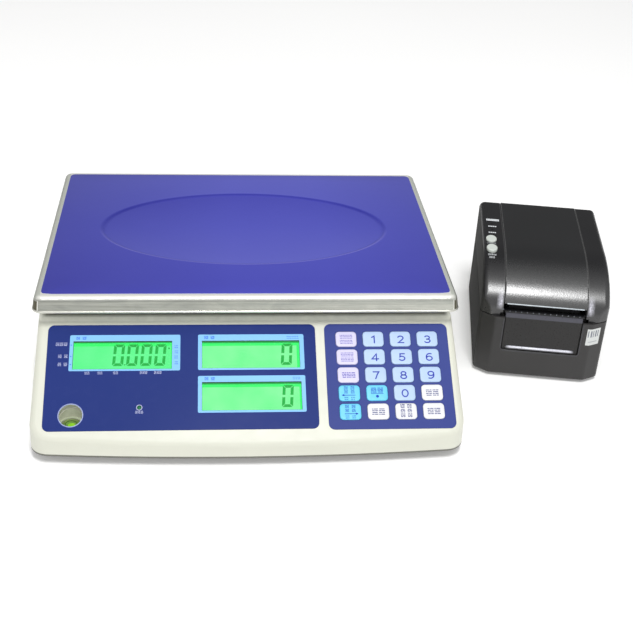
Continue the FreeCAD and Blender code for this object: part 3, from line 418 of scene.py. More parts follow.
MATS["cast"] = plastic("cast_aluminium_grey", (168, 170, 172), rough=0.5, metal=1.0, grain=700.0, depth=0.0001, strength=0.4).m
MATS["milled"] = brushed("milled_aluminium", (196, 198, 202), rough=0.32, along="X").m
MATS["zinc"] = brushed("zinc_plated", (176, 178, 176), rough=0.35, along="Z").m
MATS["bright"] = brushed("bright_steel", (190, 190, 192), rough=0.22, along="X", streak=0.6).m
MATS["painted"] = plastic("grey_powder_coat", (92, 94, 98), rough=0.55, grain=900.0, depth=0.00008, strength=0.5).m
MATS["rubber"] = plastic("black_rubber", (34, 34, 34), rough=0.72, grain=1200.0, depth=0.00008, strength=0.4, mottle=0.12).m
MATS["battery"] = plastic("battery_case", (40, 40, 43), rough=0.55, grain=1100.0, depth=0.00006).m
MATS["gear"] = plastic("acetal_white", (226, 226, 218), rough=0.38, grain=900.0).m
MATS["ceramic"] = plastic("glazed_black", (40, 40, 42), rough=0.18, grain=500.0, strength=0.08).m


def printer_black(name, rgb=(38, 38, 40), rough=0.44, grain=1150.0, depth=0.00009, strength=0.55, ior=1.45, seam_painted_light=False, mouth_painted_highlight=False, smooth_top=False, **kw):
    """Satin black with a leather-fine spark grain, coarser and duller on the side walls, which are also painted darker
    as shade.
    """
    m = Mat(name, rough=rough, ior=ior, **kw)
    c = lin(rgb)
    a = m.noise(22.0, 3.0, 0.55)
    f = m.noise(grain, 3.0, 0.7)
    v = m.voronoi(grain * 0.9)
    base = m.ramp(a, [(0.3, shade(c, 0.92)), (0.7, shade(c, 1.1))])
    d = m.node("VectorMath", operation="DOT_PRODUCT")
    m.link(m.nrm(), d.inputs[0])
    d.inputs[1].default_value = (math.cos(math.radians(-10)), math.sin(math.radians(-10)), 0)
    wall = m.span(m.math("ABSOLUTE", d.outputs["Value"]), 0.0, 1.0, 0.86, 0.97)
    # painted shade: the side walls are a darker copy of the black
    whole = m.mix(wall, base, shade(c, 0.4))
    p = m.printer_xyz()
    au = m.math("ABSOLUTE", p[0])
    r = m.span(f, rough - 0.05, rough + 0.06)
    r = m.math("ADD", r, m.math("MULTIPLY", wall, 0.82 - rough))
    if seam_painted_light:
        # painted light: the two rounded edges that meet along the lid are painted pale
        k = m.math("MULTIPLY", m.span(m.math("ABSOLUTE", m.math("ADD", au, -0.0349)), 1.0, 0.0, 0.0005, 0.0010), m.span(p[2], 0.0, 1.0, 0.070, 0.074))
        whole = m.mix(k, whole, lin((78, 78, 78)))
    if mouth_painted_highlight:
        # painted highlight on the corners on both sides of the mouth
        k = m.math("MULTIPLY", m.span(au, 0.0, 1.0, 0.0353, 0.0372), m.span(au, 1.0, 0.0, 0.0378, 0.0415))
        k = m.math("MULTIPLY", k, m.math("MULTIPLY", m.span(p[2], 0.0, 1.0, 0.0655, 0.0705), m.span(p[2], 1.0, 0.0, 0.0745, 0.0815)))
        k = m.math("MULTIPLY", k, m.math("MULTIPLY", m.span(v, 0.55, 1.0), m.span(p[1], 1.0, 0.0, 0.030, 0.036)))
        whole = m.mix(k, whole, lin((196, 196, 206)))
    m.set("Base Color", whole)
    h = m.mix(0.5, f, v)
    if smooth_top:
        # the level top is moulded smoother than the curved front
        k = m.span(m.xyz(m.nrm())[2], 0.0, 1.0, 0.955, 0.995)
        h = m.mix(k, h, m.ramp(h, [(0.0, (0.42, 0.42, 0.42, 1)), (1.0, (0.58, 0.58, 0.58, 1))]))
        r = m.math("SUBTRACT", r, m.math("MULTIPLY", k, 0.1))
    m.set("Roughness", r)
    m.set("Normal", m.bump(h, strength, depth))
    return m


MATS["printer"] = printer_black("printer_satin_black", (43, 42, 42), rough=0.42).m
MATS["hood"] = printer_black("printer_hood_black", (24, 24, 26), rough=0.3, grain=950.0, depth=0.00006, strength=0.45, ior=1.56, seam_painted_light=True, mouth_painted_highlight=True, smooth_top=True, Specular_IOR_Level=0.8).m
MATS["lid"] = printer_black("printer_lid_black", (20, 21, 23), rough=0.28, grain=760.0, depth=0.00008, strength=0.5, ior=1.66, seam_painted_light=True, smooth_top=True, Specular_IOR_Level=1.0).m

# front cover: a painted highlight, a lighter band along its sloping top
m = printer_black("printer_gloss_black", (34, 33, 33), rough=0.3, grain=900.0, depth=0.00003, strength=0.3, Specular_IOR_Level=0.38)
old = m.b.inputs["Base Color"].links[0].from_socket
band = m.span(m.xyz(m.obj())[2], 0.0, 1.0, 0.0594, 0.0600)
m.set("Base Color", m.mix(band, old, lin((74, 74, 82))))
MATS["printer_gloss"] = m.m

# rolled lip: a painted highlight along its crown, fading towards both ends
m = Mat("cover_lip", rough=0.3, ior=1.5, Specular_IOR_Level=0.7)
p_ = m.xyz(m.obj())
ends_ = m.span(m.math("ABSOLUTE", p_[0]), 1.0, 0.0, 0.0255, 0.0292)
crest = m.span(p_[2], 0.0, 1.0, 0.0301, 0.0308)
worn = m.span(m.noise(700.0, 3.0, 0.7), 0.72, 1.0)
k_ = m.math("MULTIPLY", m.math("MULTIPLY", ends_, crest), worn)
m.set("Base Color", m.mix(k_, lin((44, 44, 50)), lin((222, 223, 234))))
m.set("Roughness", m.span(worn, 0.24, 0.36, 0.7, 1.0))
m.set("Normal", m.bump(m.noise(900.0, 2.0), 0.3, 0.00005))
MATS["lip"] = m.m

# interface board: connectors in black, the board in green
m = Mat("interface_board", rough=0.4, ior=1.5)
runs = m.ramp(m.voronoi(170.0, feature="DISTANCE_TO_EDGE"), [(0.0, (1, 1, 1, 1)), (0.05, (1, 1, 1, 1)), (0.07, (0, 0, 0, 1))])
green = m.mix(runs, lin((20, 92, 48)), lin((42, 128, 66)))
dark = m.ramp(m.noise(500.0), [(0.3, lin((24, 24, 26))), (0.7, lin((32, 32, 34)))])
m.set("Base Color", m.mix(m.span(m.printer_xyz()[1], 0.0, 1.0, 0.1335, 0.1337), green, dark))
m.set("Roughness", m.span(m.noise(300.0), 0.34, 0.46))
m.set("Normal", m.bump(runs, 0.3, 0.00005))
MATS["printer_pcb"] = m.m

# mains inlet: black moulding, plated blades
m = Mat("mains_inlet", rough=0.45, ior=1.5)
q_ = m.xyz(m.mapped(kind="TEXTURE", loc=(OX, OY + 0.118, 0)))
blade = None
for x0, x1, z0, z1 in ((-116.6, -112.4, 37.9, 40.1), (-121.6, -119.4, 31.9, 36.1), (-104.6, -102.4, 31.9, 36.1)):
    k_ = m.inside(q_, (x0 / 1000, -0.0152, z0 / 1000), (x1 / 1000, -0.0028, z1 / 1000))
    blade = k_ if blade is None else m.math("MAXIMUM", blade, k_)
body_ = m.ramp(m.noise(700.0, 3.0), [(0.3, lin((30, 30, 32))), (0.7, lin((40, 40, 42)))])
m.set("Base Color", m.mix(blade, body_, lin((214, 208, 190))))
m.set("Metallic", blade)
m.set("Roughness", m.span(m.noise(500.0, 2.0), 0.34, 0.5))
m.set("Normal", m.bump(m.noise(1400.0, 2.0), 0.25, 0.00004))
MATS["inlet"] = m.m

# data port: plated shell, black face with its holes
m = Mat("data_port_plate", rough=0.3)
q_ = m.xyz(m.mapped(kind="TEXTURE", loc=(OX, OY + 0.118, 0)))
face_ = m.inside(q_, (0.0491, 0.00425, 0.0294), (0.0639, 0.01, 0.0356))
s_ = m.noise(1.0, 3.0, 0.6, vec=m.mapped((30, 1800, 1800)))
plate = m.ramp(s_, [(0.25, lin((176, 176, 178))), (0.75, lin((206, 206, 208)))])
m.set("Base Color", m.mix(face_, plate, lin((22, 22, 26))))
m.set("Metallic", m.math("SUBTRACT", 1.0, face_))
m.set("Roughness", m.span(s_, 0.26, 0.4))
m.set("Normal", m.bump(s_, 0.15, 0.00002))
MATS["port"] = m.m
MATS["tear"] = plastic("tear_bar_dark", (20, 20, 24), rough=0.5, grain=900.0).m
MATS["lamp_dark"] = plastic("lamp_dark", (14, 14, 16), rough=0.2, grain=600.0).m
# painted highlight: light grey for the bright line on the lid's front edge
MATS["edge_silver"] = plastic("edge_worn_silver", (186, 194, 200), rough=0.3, grain=900.0, depth=0.00008, strength=0.5, mottle=0.1, cloud=260.0).m
MATS["pin_grey"] = plastic("pin_grey", (110, 112, 120), rough=0.4).m
MATS["rim_black"] = plastic("rim_black", (56, 56, 60), rough=0.34, grain=900.0).m
MATS["seam_grey"] = plastic("seam_grey", (60, 60, 62), rough=0.5, grain=900.0).m
MATS["button"] = plastic("button_silicone", (202, 208, 202), rough=0.5, grain=1300.0, depth=0.00004).m
MATS["mark_white"] = sheet_mat("mark_white", (214, 218, 222), (232, 234, 236), rough=0.4)
MATS["sticker"] = sheet_mat("sticker_paper", (196, 199, 198), (210, 212, 210), rough=0.45)
MATS["sticker_grey"] = sheet_mat("sticker_grey", (112, 116, 126), (126, 130, 140), rough=0.45)

# circuit boards: green with copper runs
m = Mat("circuit_board", rough=0.35, ior=1.5)
cell = m.voronoi(260.0, feature="F1", out="Distance")
runs = m.ramp(m.voronoi(160.0, feature="DISTANCE_TO_EDGE"), [(0.0, (1, 1, 1, 1)), (0.05, (1, 1, 1, 1)), (0.07, (0, 0, 0, 1))])
m.set("Base Color", m.mix(runs, lin((20, 92, 48)), lin((42, 128, 66))))
m.set("Roughness", m.span(cell, 0.3, 0.42))
m.set("Normal", m.bump(runs, 0.3, 0.00005))
MATS["pcb"] = m.m

# paper roll: fine wound layers on its sides
m = Mat("label_paper_roll", rough=0.62, ior=1.4)
loc = (M_PRINTER @ Vector((0, 0.095, 0.050)))
pv = m.mapped(kind="TEXTURE", loc=tuple(loc), rot=(0, 0, math.radians(-10)))
px = m.xyz(pv)
rad = m.math("SQRT", m.math("ADD", m.math("MULTIPLY", px[1], px[1]), m.math("MULTIPLY", px[2], px[2])))
layer = m.math("SINE", m.math("MULTIPLY", rad, 2 * math.pi / 0.00042))
uneven = m.noise(400.0, 3.0)
side = m.math("MULTIPLY", layer, uneven)
core = m.math("LESS_THAN", rad, 0.0142)
paper = m.ramp(side, [(0.0, lin((222, 222, 216))), (0.6, lin((240, 240, 236)))])
m.set("Base Color", m.mix(core, paper, lin((168, 134, 96))))
m.set("Roughness", m.span(uneven, 0.55, 0.7))
m.set("Normal", m.bump(side, 0.35, 0.00008))
MATS["paper"] = m.m


# --------------------------------------------------------------- mesh building
def rr(hx, hy, r, n=8, cx=0.0, cy=0.0, z=0.0, extra=0):
    """Points of a rounded rectangle, counter-clockwise from its right side."""
    r = max(min(r, hx - 1e-4, hy - 1e-4), 1e-4)
    pts = []
    for k, (sx, sy) in enumerate(((1, 1), (-1, 1), (-1, -1), (1, -1))):
        ox, oy = cx + sx * (hx - r), cy + sy * (hy - r)
        for i in range(n + 1):
            a = math.radians(90 * k + 90 * i / n)
            pts.append((ox + r * math.cos(a), oy + r * math.sin(a), z))
        if extra:
            # points along the straight run to the next corner
            a0 = pts[-1]
            nk = (k + 1) % 4
            nsx, nsy = ((1, 1), (-1, 1), (-1, -1), (1, -1))[nk]
            b = math.radians(90 * nk)
            b0 = (cx + nsx * (hx - r) + r * math.cos(b), cy + nsy * (hy - r) + r * math.sin(b), z)
            for j in range(1, extra + 1):
                t = j / (extra + 1)
                pts.append((a0[0] + (b0[0] - a0[0]) * t, a0[1] + (b0[1] - a0[1]) * t, z))
    return pts


def ell(a, b, n=48, cx=0.0, cy=0.0, z=0.0):
    return [(cx + a * math.cos(2 * math.pi * i / n), cy + b * math.sin(2 * math.pi * i / n), z) for i in range(n)]


def loft(rings, cap0=True, cap1=True, closed=False):
    """Quads between rings of equal length; ends capped."""
    v, f = [], []
    n = len(rings[0])
    for r in rings:
        v.extend(r)
    m_ = len(rings)
    for k in range(m_ if closed else m_ - 1):
        a, b = k * n, ((k + 1) % m_) * n
        for i in range(n):
            j = (i + 1) % n
            f.append((a + i, a + j, b + j, b + i))
    if not closed:
        if cap0:
            f.append(tuple(range(n - 1, -1, -1)))
        if cap1:
            f.append(tuple((m_ - 1) * n + i for i in range(n)))
    return v, f


def join(*parts):
    v, f = [], []
    for pv, pf in parts:
        k = len(v)
        v.extend(pv)
        f.extend(tuple(k + i for i in q) for q in pf)
    return v, f


def slab(pts, z0, z1):
    """Prism over an outline."""
    return loft([[(x, y, z0) for x, y in pts], [(x, y, z1) for x, y in pts]])


def bar(x0, y0, x1, y1, z0, z1, r=0.15):
    hx, hy = abs(x1 - x0) / 2, abs(y1 - y0) / 2
    p = rr(hx, hy, min(r, hx * 0.9, hy * 0.9), 3, (x0 + x1) / 2, (y0 + y1) / 2)
    return slab([(a, b) for a, b, _ in p], z0, z1)


def make(name, data, mat, M=Matrix.Identity(4), body=None, replaces=(), sharp=35.0, smooth=True):
    v, f = data
    me = bpy.data.meshes.new(name)
    me.from_pydata([(x * 0.001, y * 0.001, z * 0.001) for x, y, z in v], [], f)
    bm = bmesh.new()
    bm.from_mesh(me)
    bmesh.ops.remove_doubles(bm, verts=bm.verts, dist=1e-7)
    bmesh.ops.recalc_face_normals(bm, faces=bm.faces)
    bm.to_mesh(me)
    bm.free()
    if smooth:
        me.shade_smooth()
        me.set_sharp_from_angle(angle=math.radians(sharp))
    me.materials.append(mat)
    o = bpy.data.objects.new(name, me)
    bpy.context.scene.collection.objects.link(o)
    o.matrix_world = M
    if body:
        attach(o, body)
    if replaces:
        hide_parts(*replaces)
    return o


def ribbon(path, w, z0, z1, closed=False, round_ends=True):
    """A printed stroke of width w along a path of (x, y)."""
    pts = [Vector((p[0], p[1])) for p in path]
    n = len(pts)
    left, right = [], []
    for i in range(n):
        if closed:
            a, b = pts[(i - 1) % n], pts[(i + 1) % n]
            d0, d1 = (pts[i] - a).normalized(), (b - pts[i]).normalized()
        else:
            d0 = (pts[i] - pts[i - 1]).normalized() if i > 0 else (pts[1] - pts[0]).normalized()
            d1 = (pts[i + 1] - pts[i]).normalized() if i < n - 1 else d0
        n0, n1 = Vector((-d0.y, d0.x)), Vector((-d1.y, d1.x))
        m_ = (n0 + n1)
        m_ = m_.normalized() if m_.length > 1e-6 else n0
        k = w / 2 / max(0.45, m_.dot(n0))
        left.append(pts[i] + m_ * k)
        right.append(pts[i] - m_ * k)
    if closed:
        rings = [[(q.x, q.y, z0) for q in left], [(q.x, q.y, z1) for q in left], [(q.x, q.y, z1) for q in right], [(q.x, q.y, z0) for q in right]]
        return loft(rings, closed=True)
    out = []
    out.extend(left)
    if round_ends:
        d = (pts[-1] - pts[-2]).normalized()
        base = math.atan2(d.y, d.x)
        for j in range(1, 6):
            a = base + math.pi / 2 - math.pi * j / 6
            out.append(pts[-1] + Vector((math.cos(a), math.sin(a))) * w / 2)
    out.extend(reversed(right))
    if round_ends:
        d = (pts[0] - pts[1]).normalized()
        base = math.atan2(d.y, d.x)
        for j in range(1, 6):
            a = base + math.pi / 2 - math.pi * j / 6
            out.append(pts[0] + Vector((math.cos(a), math.sin(a))) * w / 2)
    # quads between left and right keep the strip clean; the ends are fans
    v, f = [], []
    nl = len(pts)
    for z in (z0, z1):
        for q in left:
            v.append((q.x, q.y, z))
        for q in right:
            v.append((q.x, q.y, z))
    L0, R0, L1, R1 = 0, nl, 2 * nl, 3 * nl
    for i in range(nl - 1):
        f.append((L1 + i, L1 + i + 1, R1 + i + 1, R1 + i))
        f.append((L0 + i, R0 + i, R0 + i + 1, L0 + i + 1))
        f.append((L0 + i, L0 + i + 1, L1 + i + 1, L1 + i))
        f.append((R0 + i, R1 + i, R1 + i + 1, R0 + i + 1))
    if round_ends:
        for end in (0, 1):
            i = 0 if end == 0 else nl - 1
            d = (pts[0] - pts[1]).normalized() if end == 0 else (pts[-1] - pts[-2]).normalized()
            base = math.atan2(d.y, d.x)
            arc = [pts[i] + Vector((math.cos(base + math.pi / 2 - math.pi * j / 6), math.sin(base + math.pi / 2 - math.pi * j / 6))) * w / 2 for j in range(7)]
            k = len(v)
            for z in (z0, z1):
                for q in arc:
                    v.append((q.x, q.y, z))
            f.append(tuple(k + 7 + j for j in range(7)))
            f.append(tuple(k + 6 - j for j in range(7)))
            for j in range(6):
                f.append((k + j, k + j + 1, k + 8 + j, k + 7 + j))
    else:
        f.append((L0, L1, R1, R0))
        e = nl - 1
        f.append((L0 + e, R0 + e, R1 + e, L1 + e))
    return v, f


def arc(cx, cy, rx, ry, a0, a1, n=14):
    return [(cx + rx * math.cos(math.radians(a0 + (a1 - a0) * i / n)), cy + ry * math.sin(math.radians(a0 + (a1 - a0) * i / n))) for i in range(n + 1)]


DIGITS = {
    "0": [("c", arc(0.30, 0.50, 0.255, 0.465, 0, 345, 30))],
    "1": [("o", [(0.14, 0.80), (0.25, 0.88), (0.36, 0.97), (0.36, 0.03)])],
    "2": [("o", arc(0.295, 0.705, 0.235, 0.26, 160, -20, 14) + [(0.45, 0.50), (0.28, 0.27), (0.07, 0.04), (0.56, 0.04)])],
    "3": [("o", arc(0.275, 0.735, 0.21, 0.23, 150, -75, 12)[:-1] + [(0.30, 0.515), (0.22, 0.515)]),
          ("o", [(0.22, 0.515), (0.30, 0.515)] + arc(0.27, 0.275, 0.25, 0.24, 75, -150, 14))],
    "4": [("o", [(0.62, 0.27), (0.04, 0.27), (0.44, 0.96), (0.44, 0.03)])],
    "5": [("o", [(0.52, 0.96), (0.15, 0.96), (0.12, 0.54)] + arc(0.28, 0.325, 0.25, 0.285, 118, -150, 18))],
    "6": [("o", [(0.50, 0.93), (0.40, 0.965)] + arc(0.34, 0.47, 0.29, 0.49, 95, 180, 9)),
          ("c", arc(0.305, 0.315, 0.25, 0.28, 180, 525, 24))],
    "7": [("o", [(0.06, 0.96), (0.55, 0.96), (0.40, 0.60), (0.24, 0.03)])],
    "8": [("c", arc(0.30, 0.735, 0.205, 0.225, 270, 615, 24)), ("c", arc(0.30, 0.27, 0.25, 0.24, 90, 435, 24))],
}
DIGITS["9"] = [(k, [(0.61 - x, 1.0 - y) for x, y in p]) for k, p in DIGITS["6"]]


def digit(ch, cx, cy, h, w, z0, z1, wide=1.45):
    parts = []
    for kind, p in DIGITS[ch]:
        q = [(cx + (x - 0.305) * h * wide, cy + (y - 0.5) * h) for x, y in p]
        parts.append(ribbon(q, w, z0, z1, closed=(kind == "c")))
    return join(*parts)


def glyph(cx, cy, w, h, t, z0, z1, style=0):
    """Generic block of short staggered bars standing where a word would be; no letter of any kind."""
    p = []
    rows = max(2, int(round(h / (t * 1.8))))
    step = (h - t) / (rows - 1)
    gap = t * 0.6
    for r in range(rows):
        y = cy + h / 2 - t / 2 - r * step
        k = (style * 3 + r * 2) % 5
        x0, x1 = cx - w / 2, cx + w / 2
        cut = x0 + w * (0.3 + 0.1 * k)
        if k == 4:
            p.append(bar(x0 + t * 0.4, y - t / 2, x1 - t * 0.4, y + t / 2, z0, z1, t * 0.3))
        else:
            p.append(bar(x0, y - t / 2, cut - gap / 2, y + t / 2, z0, z1, t * 0.3))
            p.append(bar(cut + gap / 2, y - t / 2, x1, y + t / 2, z0, z1, t * 0.3))
    return join(*p)


# -------------------------------------------------- finishes of the CAD pieces
def paint(node, mat):
    o = NODES[node]
    o.data.materials.clear()
    o.data.materials.append(MATS[mat] if isinstance(mat, str) else mat)


for n_, m_ in {
    "top_housing": "housing", "base_tray": "tray", "machine_screws": "zinc", "chassis_plate": "painted", "load_cell": "milled",
    "display_overlay": "overlay_blue", "keypad_overlay": "overlay_violet", "keypad_board": "pcb", "main_board": "pcb", "lcd_modules": "battery",
    "battery": "battery", "pan_spider": "cast", "pan_cushions": "rubber", "weighing_pan": "pan",
    "printer_base": "printer", "printer_hood": "hood", "printer_lid": "lid", "front_cover": "printer_gloss", "tear_bar": "tear",
    "lid_hinge_pin": "bright", "stepper_motor": "zinc", "printer_board": "printer_pcb", "printer_feet": "rubber", "print_head": "ceramic",
    "platen_roller": "rubber", "platen_gear": "gear", "motor_pinion": "gear", "label_roll": "paper",
    "feed_button": "button", "pause_button": "button", "power_rocker": "battery", "power_inlet": "inlet", "data_port": "port",
    "foot_front_left": "rubber", "foot_front_right": "rubber", "foot_rear_left": "rubber", "foot_rear_right": "rubber",
    "charge_led": "bezel", "level_vial": "bezel",
}.items():
    paint(n_, m_)

# ------------------------------------------------------------------- pan film
def oval_sheet():
    """The film over the pan with its wide shallow oval, from the middle outwards."""
    n = 256
    hx, hy, r = 162.6, 114.3, 5.0
    z_top, deep = 103.5, 1.1
    A, B, CY = 125.5, 69.5, 3.1

    def rim(t, inset=0.0):
        d = Vector((A * math.cos(t), B * math.sin(t) + CY))
        ang = math.atan2(d.y, d.x)
        cx_, cy_ = math.cos(ang), math.sin(ang)
        X, Y, R_ = hx - inset, hy - inset, r - inset * 0.6
        k = min(X / abs(cx_) if abs(cx_) > 1e-9 else 1e9, Y / abs(cy_) if abs(cy_) > 1e-9 else 1e9)
        x, y = cx_ * k, cy_ * k
        if abs(x) > X - R_ and abs(y) > Y - R_:
            # on the rounded corner: meet the ray with the corner circle
            ox, oy = math.copysign(X - R_, x), math.copysign(Y - R_, y)
            b_ = ox * cx_ + oy * cy_
            c_ = ox * ox + oy * oy - R_ * R_
            k = b_ + math.sqrt(max(b_ * b_ - c_, 0))
            x, y = cx_ * k, cy_ * k
        return x, y

    # parameters, with extra points at the four corners
    ts = [2 * math.pi * i / n for i in range(n)]
    for sx in (1, -1):
        for sy in (1, -1):
            for j in range(7):
                a = math.radians(90 * j / 6)
                px_, py_ = sx * (hx - r + r * math.cos(a)), sy * (hy - r + r * math.sin(a))
                ts.append(math.atan2((py_ - CY) / B, px_ / A) % (2 * math.pi))
    ts = sorted(set(round(t, 6) for t in ts))

    def dip(d):
        """Depth of the surface at distance d outside the oval's edge."""
        t = min(1.0, max(0.0, (d + 3.6) / 4.0))
        s = t * t * (3 - 2 * t)
        roll = 0.10 * math.exp(-((d - 1.2) / 1.6) ** 2)
        return z_top - deep * (1 - s) + roll * 0.0

    rings = []
    for k in (0.12, 0.3, 0.5, 0.7, 0.85, 0.93):
        rings.append([(A * k * math.cos(t), CY + B * k * math.sin(t), dip(-50)) for t in ts])
    for d in (-4.4, -3.6, -3.1, -2.6, -2.1, -1.6, -1.1, -0.6, -0.1, 0.4, 1.0):
        rings.append([((A + d) * math.cos(t), CY + (B + d) * math.sin(t), dip(d)) for t in ts])
    for k in (0.35, 0.7):
        ring = []
        for t in ts:
            x0, y0 = (A + 1.0) * math.cos(t), CY + (B + 1.0) * math.sin(t)
            x1, y1 = rim(t, 0.25)
            ring.append((x0 + (x1 - x0) * k, y0 + (y1 - y0) * k, z_top))
        rings.append(ring)
    rings.append([rim(t, 0.25) + (z_top,) for t in ts])
    rings.append([rim(t, 0.06) + (z_top - 0.06,) for t in ts])
    rings.append([rim(t, 0.0) + (z_top - 0.29,) for t in ts])
    # underside
    under = [[(x, y, z - 0.2) for x, y, z in r_] for r_ in rings[:-3]]
    allr = rings + [rings[-1]][:0] + under[::-1]
    return loft(allr, True, True)


make("pan_film_sheet", oval_sheet(), MATS["film"], M_SCALE, "pan", ["pan_film"], sharp=60)

# folded corners: a dark strip over the joint between the flaps, widened into painted shade over the corner, on two
# corners a mid grey painted half shade over the side flap, a painted highlight on the bead beside it and painted light
# along the side's edge
def corner_strip(sx, sy, a0, a1, off, z0=92.0, z1=101.8, n=6):
    rows = []
    steps = 14
    for k in range(steps + 1):
        z = z0 + (z1 - z0) * k / steps
        t = (z - 90.0) / 13.2
        hx, hy, r = 169.6 - 2.0 * t, 122.1 - 2.0 * t, 8.0 - 1.5 * t
        cx_, cy_ = hx - r, hy - r
        if z > 98.75:
            r -= 4.6 - math.sqrt(max(0.0, 4.6 ** 2 - (z - 98.75) ** 2))
        rows.append((cx_, cy_, r, z))
    rings = []
    for cx_, cy_, r, z in rows:
        ring = []
        for rr_ in (r + off, r - 0.25):
            seq = range(n + 1) if rr_ > r else range(n, -1, -1)
            for i in seq:
                a = math.radians(a0 + (a1 - a0) * i / n)
                ring.append((sx * (cx_ + rr_ * math.cos(a)), sy * (cy_ + rr_ * math.sin(a)), z))
        rings.append(ring)
    return loft(rings)


MATS["joint_dark"] = brushed("pan_joint_dark", (98, 95, 80), rough=0.5, along="Z").m
MATS["joint_mid"] = brushed("pan_joint_mid", (150, 148, 138), rough=0.45, along="Z").m
MATS["bead_bright"] = brushed("pan_bead_bright", (236, 236, 230), rough=0.34, along="Z").m
MATS["bead_soft"] = brushed("pan_bead_soft", (186, 186, 176), rough=0.4, along="Z").m
for nm_, sx, sy in (("front_left", -1, -1), ("front_right", 1, -1), ("rear_left", -1, 1), ("rear_right", 1, 1)):
    if nm_ in ("front_left", "rear_right"):
        make("pan_joint_" + nm_, corner_strip(sx, sy, 9, 60, 0.05), MATS["joint_dark"], M_SCALE, "pan")
    else:
        make("pan_joint_" + nm_, corner_strip(sx, sy, 44, 60, 0.05, n=3), MATS["joint_dark"], M_SCALE, "pan")
        make("pan_flap_" + nm_, corner_strip(sx, sy, 9, 43.6, 0.07), MATS["joint_mid"], M_SCALE, "pan")
    make("pan_bead_" + nm_, corner_strip(sx, sy, 60.5, 66, 0.13, 91.8, 102.0, 3), MATS["bead_bright"], M_SCALE, "pan")
    make("pan_edge_bead_" + nm_, corner_strip(sx, sy, 2, 8.6, 0.10, 91.8, 101.9, 3), MATS["bead_soft"], M_SCALE, "pan")

# ------------------------------------------------------------ printed frames
def ring_plate(outer, inner, z0, z1, ro=1.2, ri=0.3):
    ou0, ou1, ov0, ov1 = outer
    iu0, iu1, iv0, iv1 = inner
    o_ = lambda z: rr((ou1 - ou0) / 2, (ov1 - ov0) / 2, ro, 5, (ou0 + ou1) / 2, -(ov0 + ov1) / 2, z)
    i_ = lambda z: rr((iu1 - iu0) / 2, (iv1 - iv0) / 2, ri, 5, (iu0 + iu1) / 2, -(iv0 + iv1) / 2, z)
    return loft([o_(z0), o_(z1), i_(z1), i_(z0)], closed=True)


for k, fr in FRAMES.items():
    w = WINDOWS[k]
    make("frame_print_" + k, ring_plate(fr, w, 0.08, 0.13), MATS["frame_print"], M_PANEL, "scale")

# lcd: backlight, polariser film, segments, a glowing painted shade strip along the top of each window, dark bezel wall
# tinted green by painted glow, clear window
for k, (a, b, c_, d_) in WINDOWS.items():
    make("lcd_backlight_" + k, bar(a - 0.02, -d_ + 0.02, b + 0.02, -c_ - 0.02, -1.42, -1.34, 0.1), MATS["lcd_back"], M_PANEL, "scale")
    make("lcd_polariser_" + k, bar(a + 0.2, -d_ + 0.3, b - {"weight": 1.0, "unit": 2.4, "count": 1.7}[k], -c_ - 3.9, -1.345, -1.30, 0.1), MATS["lcd_film_weight" if k == "weight" else "lcd_film"], M_PANEL, "scale")
    # painted shade: a dark green glowing strip along the top of each window
    make("lcd_shade_" + k, bar(a + 0.1, -c_ - (1.1 if k == "weight" else 1.5), b - 0.1, -c_ - 0.05, -1.30, -1.20, 0.1), MATS["lcd_edge"], M_PANEL, "scale")
    outer = (a - 0.08, b + 0.08, c_ - 0.08, d_ + 0.08)
    inner = (a + 0.22, b - 0.22, c_ + 0.22, d_ - 0.22)
    # painted shade and light: the bezel wall is dark, tinted green as if lit by the display
    make("lcd_bezel_" + k, ring_plate(outer, inner, -1.40, -0.02, 0.3, 0.2), MATS["bezel"], M_PANEL, "scale")
    make("lcd_window_" + k, bar(a, -d_, b, -c_, 0.0, 0.06, 0.3), MATS["window"], M_PANEL, "scale")


def seven(cx, cy, w, h, t, segs, z0, z1, slant=0.07):
    """Seven-segment figure; cx, cy is its middle, y up."""
    g = 0.28
    W, H = w / 2, h / 2
    out = []

    def seg(pts):
        out.append(slab([(cx + x + y * slant, cy + y) for x, y in pts], z0, z1))

    if "a" in segs:
        seg([(-W + g + 0.25, H), (-W + t + g * 0.4, H - t), (W - t - g * 0.4, H - t), (W - g - 0.25, H)])
    if "d" in segs:
        seg([(-W + g + 0.25, -H), (W - g - 0.25, -H), (W - t - g * 0.4, -H + t), (-W + t + g * 0.4, -H + t)])
    if "g" in segs:
        seg([(-W + t, t / 2), (-W + t / 2 + 0.2, 0), (-W + t, -t / 2), (W - t, -t / 2), (W - t / 2 - 0.2, 0), (W - t, t / 2)])
    for s, sx, sy in (("f", -1, 1), ("b", 1, 1), ("e", -1, -1), ("c", 1, -1)):
        if s in segs:
            seg([(sx * W, sy * (H - g - 0.3)), (sx * W, sy * 1.0), (sx * (W - t), sy * 1.0), (sx * (W - t), sy * (H - t - g))])
    return join(*out)


ZERO = "abcdef"
for i, cu in enumerate((-102.2, -91.35, -80.5, -69.65)):
    make("lcd_figure_weight_%d" % (i + 1), seven(cu, -25.7, 8.5, 18.5, 2.25, ZERO, -1.30, -1.24), MATS["lcd_digit"], M_PANEL, "scale")
make("lcd_point_weight", slab([(x, y) for x, y, _ in ell(0.6, 0.6, 16, -97.3, -34.0)], -1.30, -1.24), MATS["lcd_digit"], M_PANEL, "scale")
make("lcd_dot_weight", slab([(x, y) for x, y, _ in ell(0.7, 0.7, 12, -62.9, -20.0)], -1.30, -1.24), MATS["lcd_digit"], M_PANEL, "scale")
make("lcd_figure_unit", seven(30.2, -25.7, 8.6, 18.5, 2.3, ZERO, -1.30, -1.24), MATS["lcd_digit"], M_PANEL, "scale")
make("lcd_figure_count", seven(30.0, -61.6, 8.6, 18.5, 2.3, ZERO, -1.30, -1.24), MATS["lcd_digit"], M_PANEL, "scale")

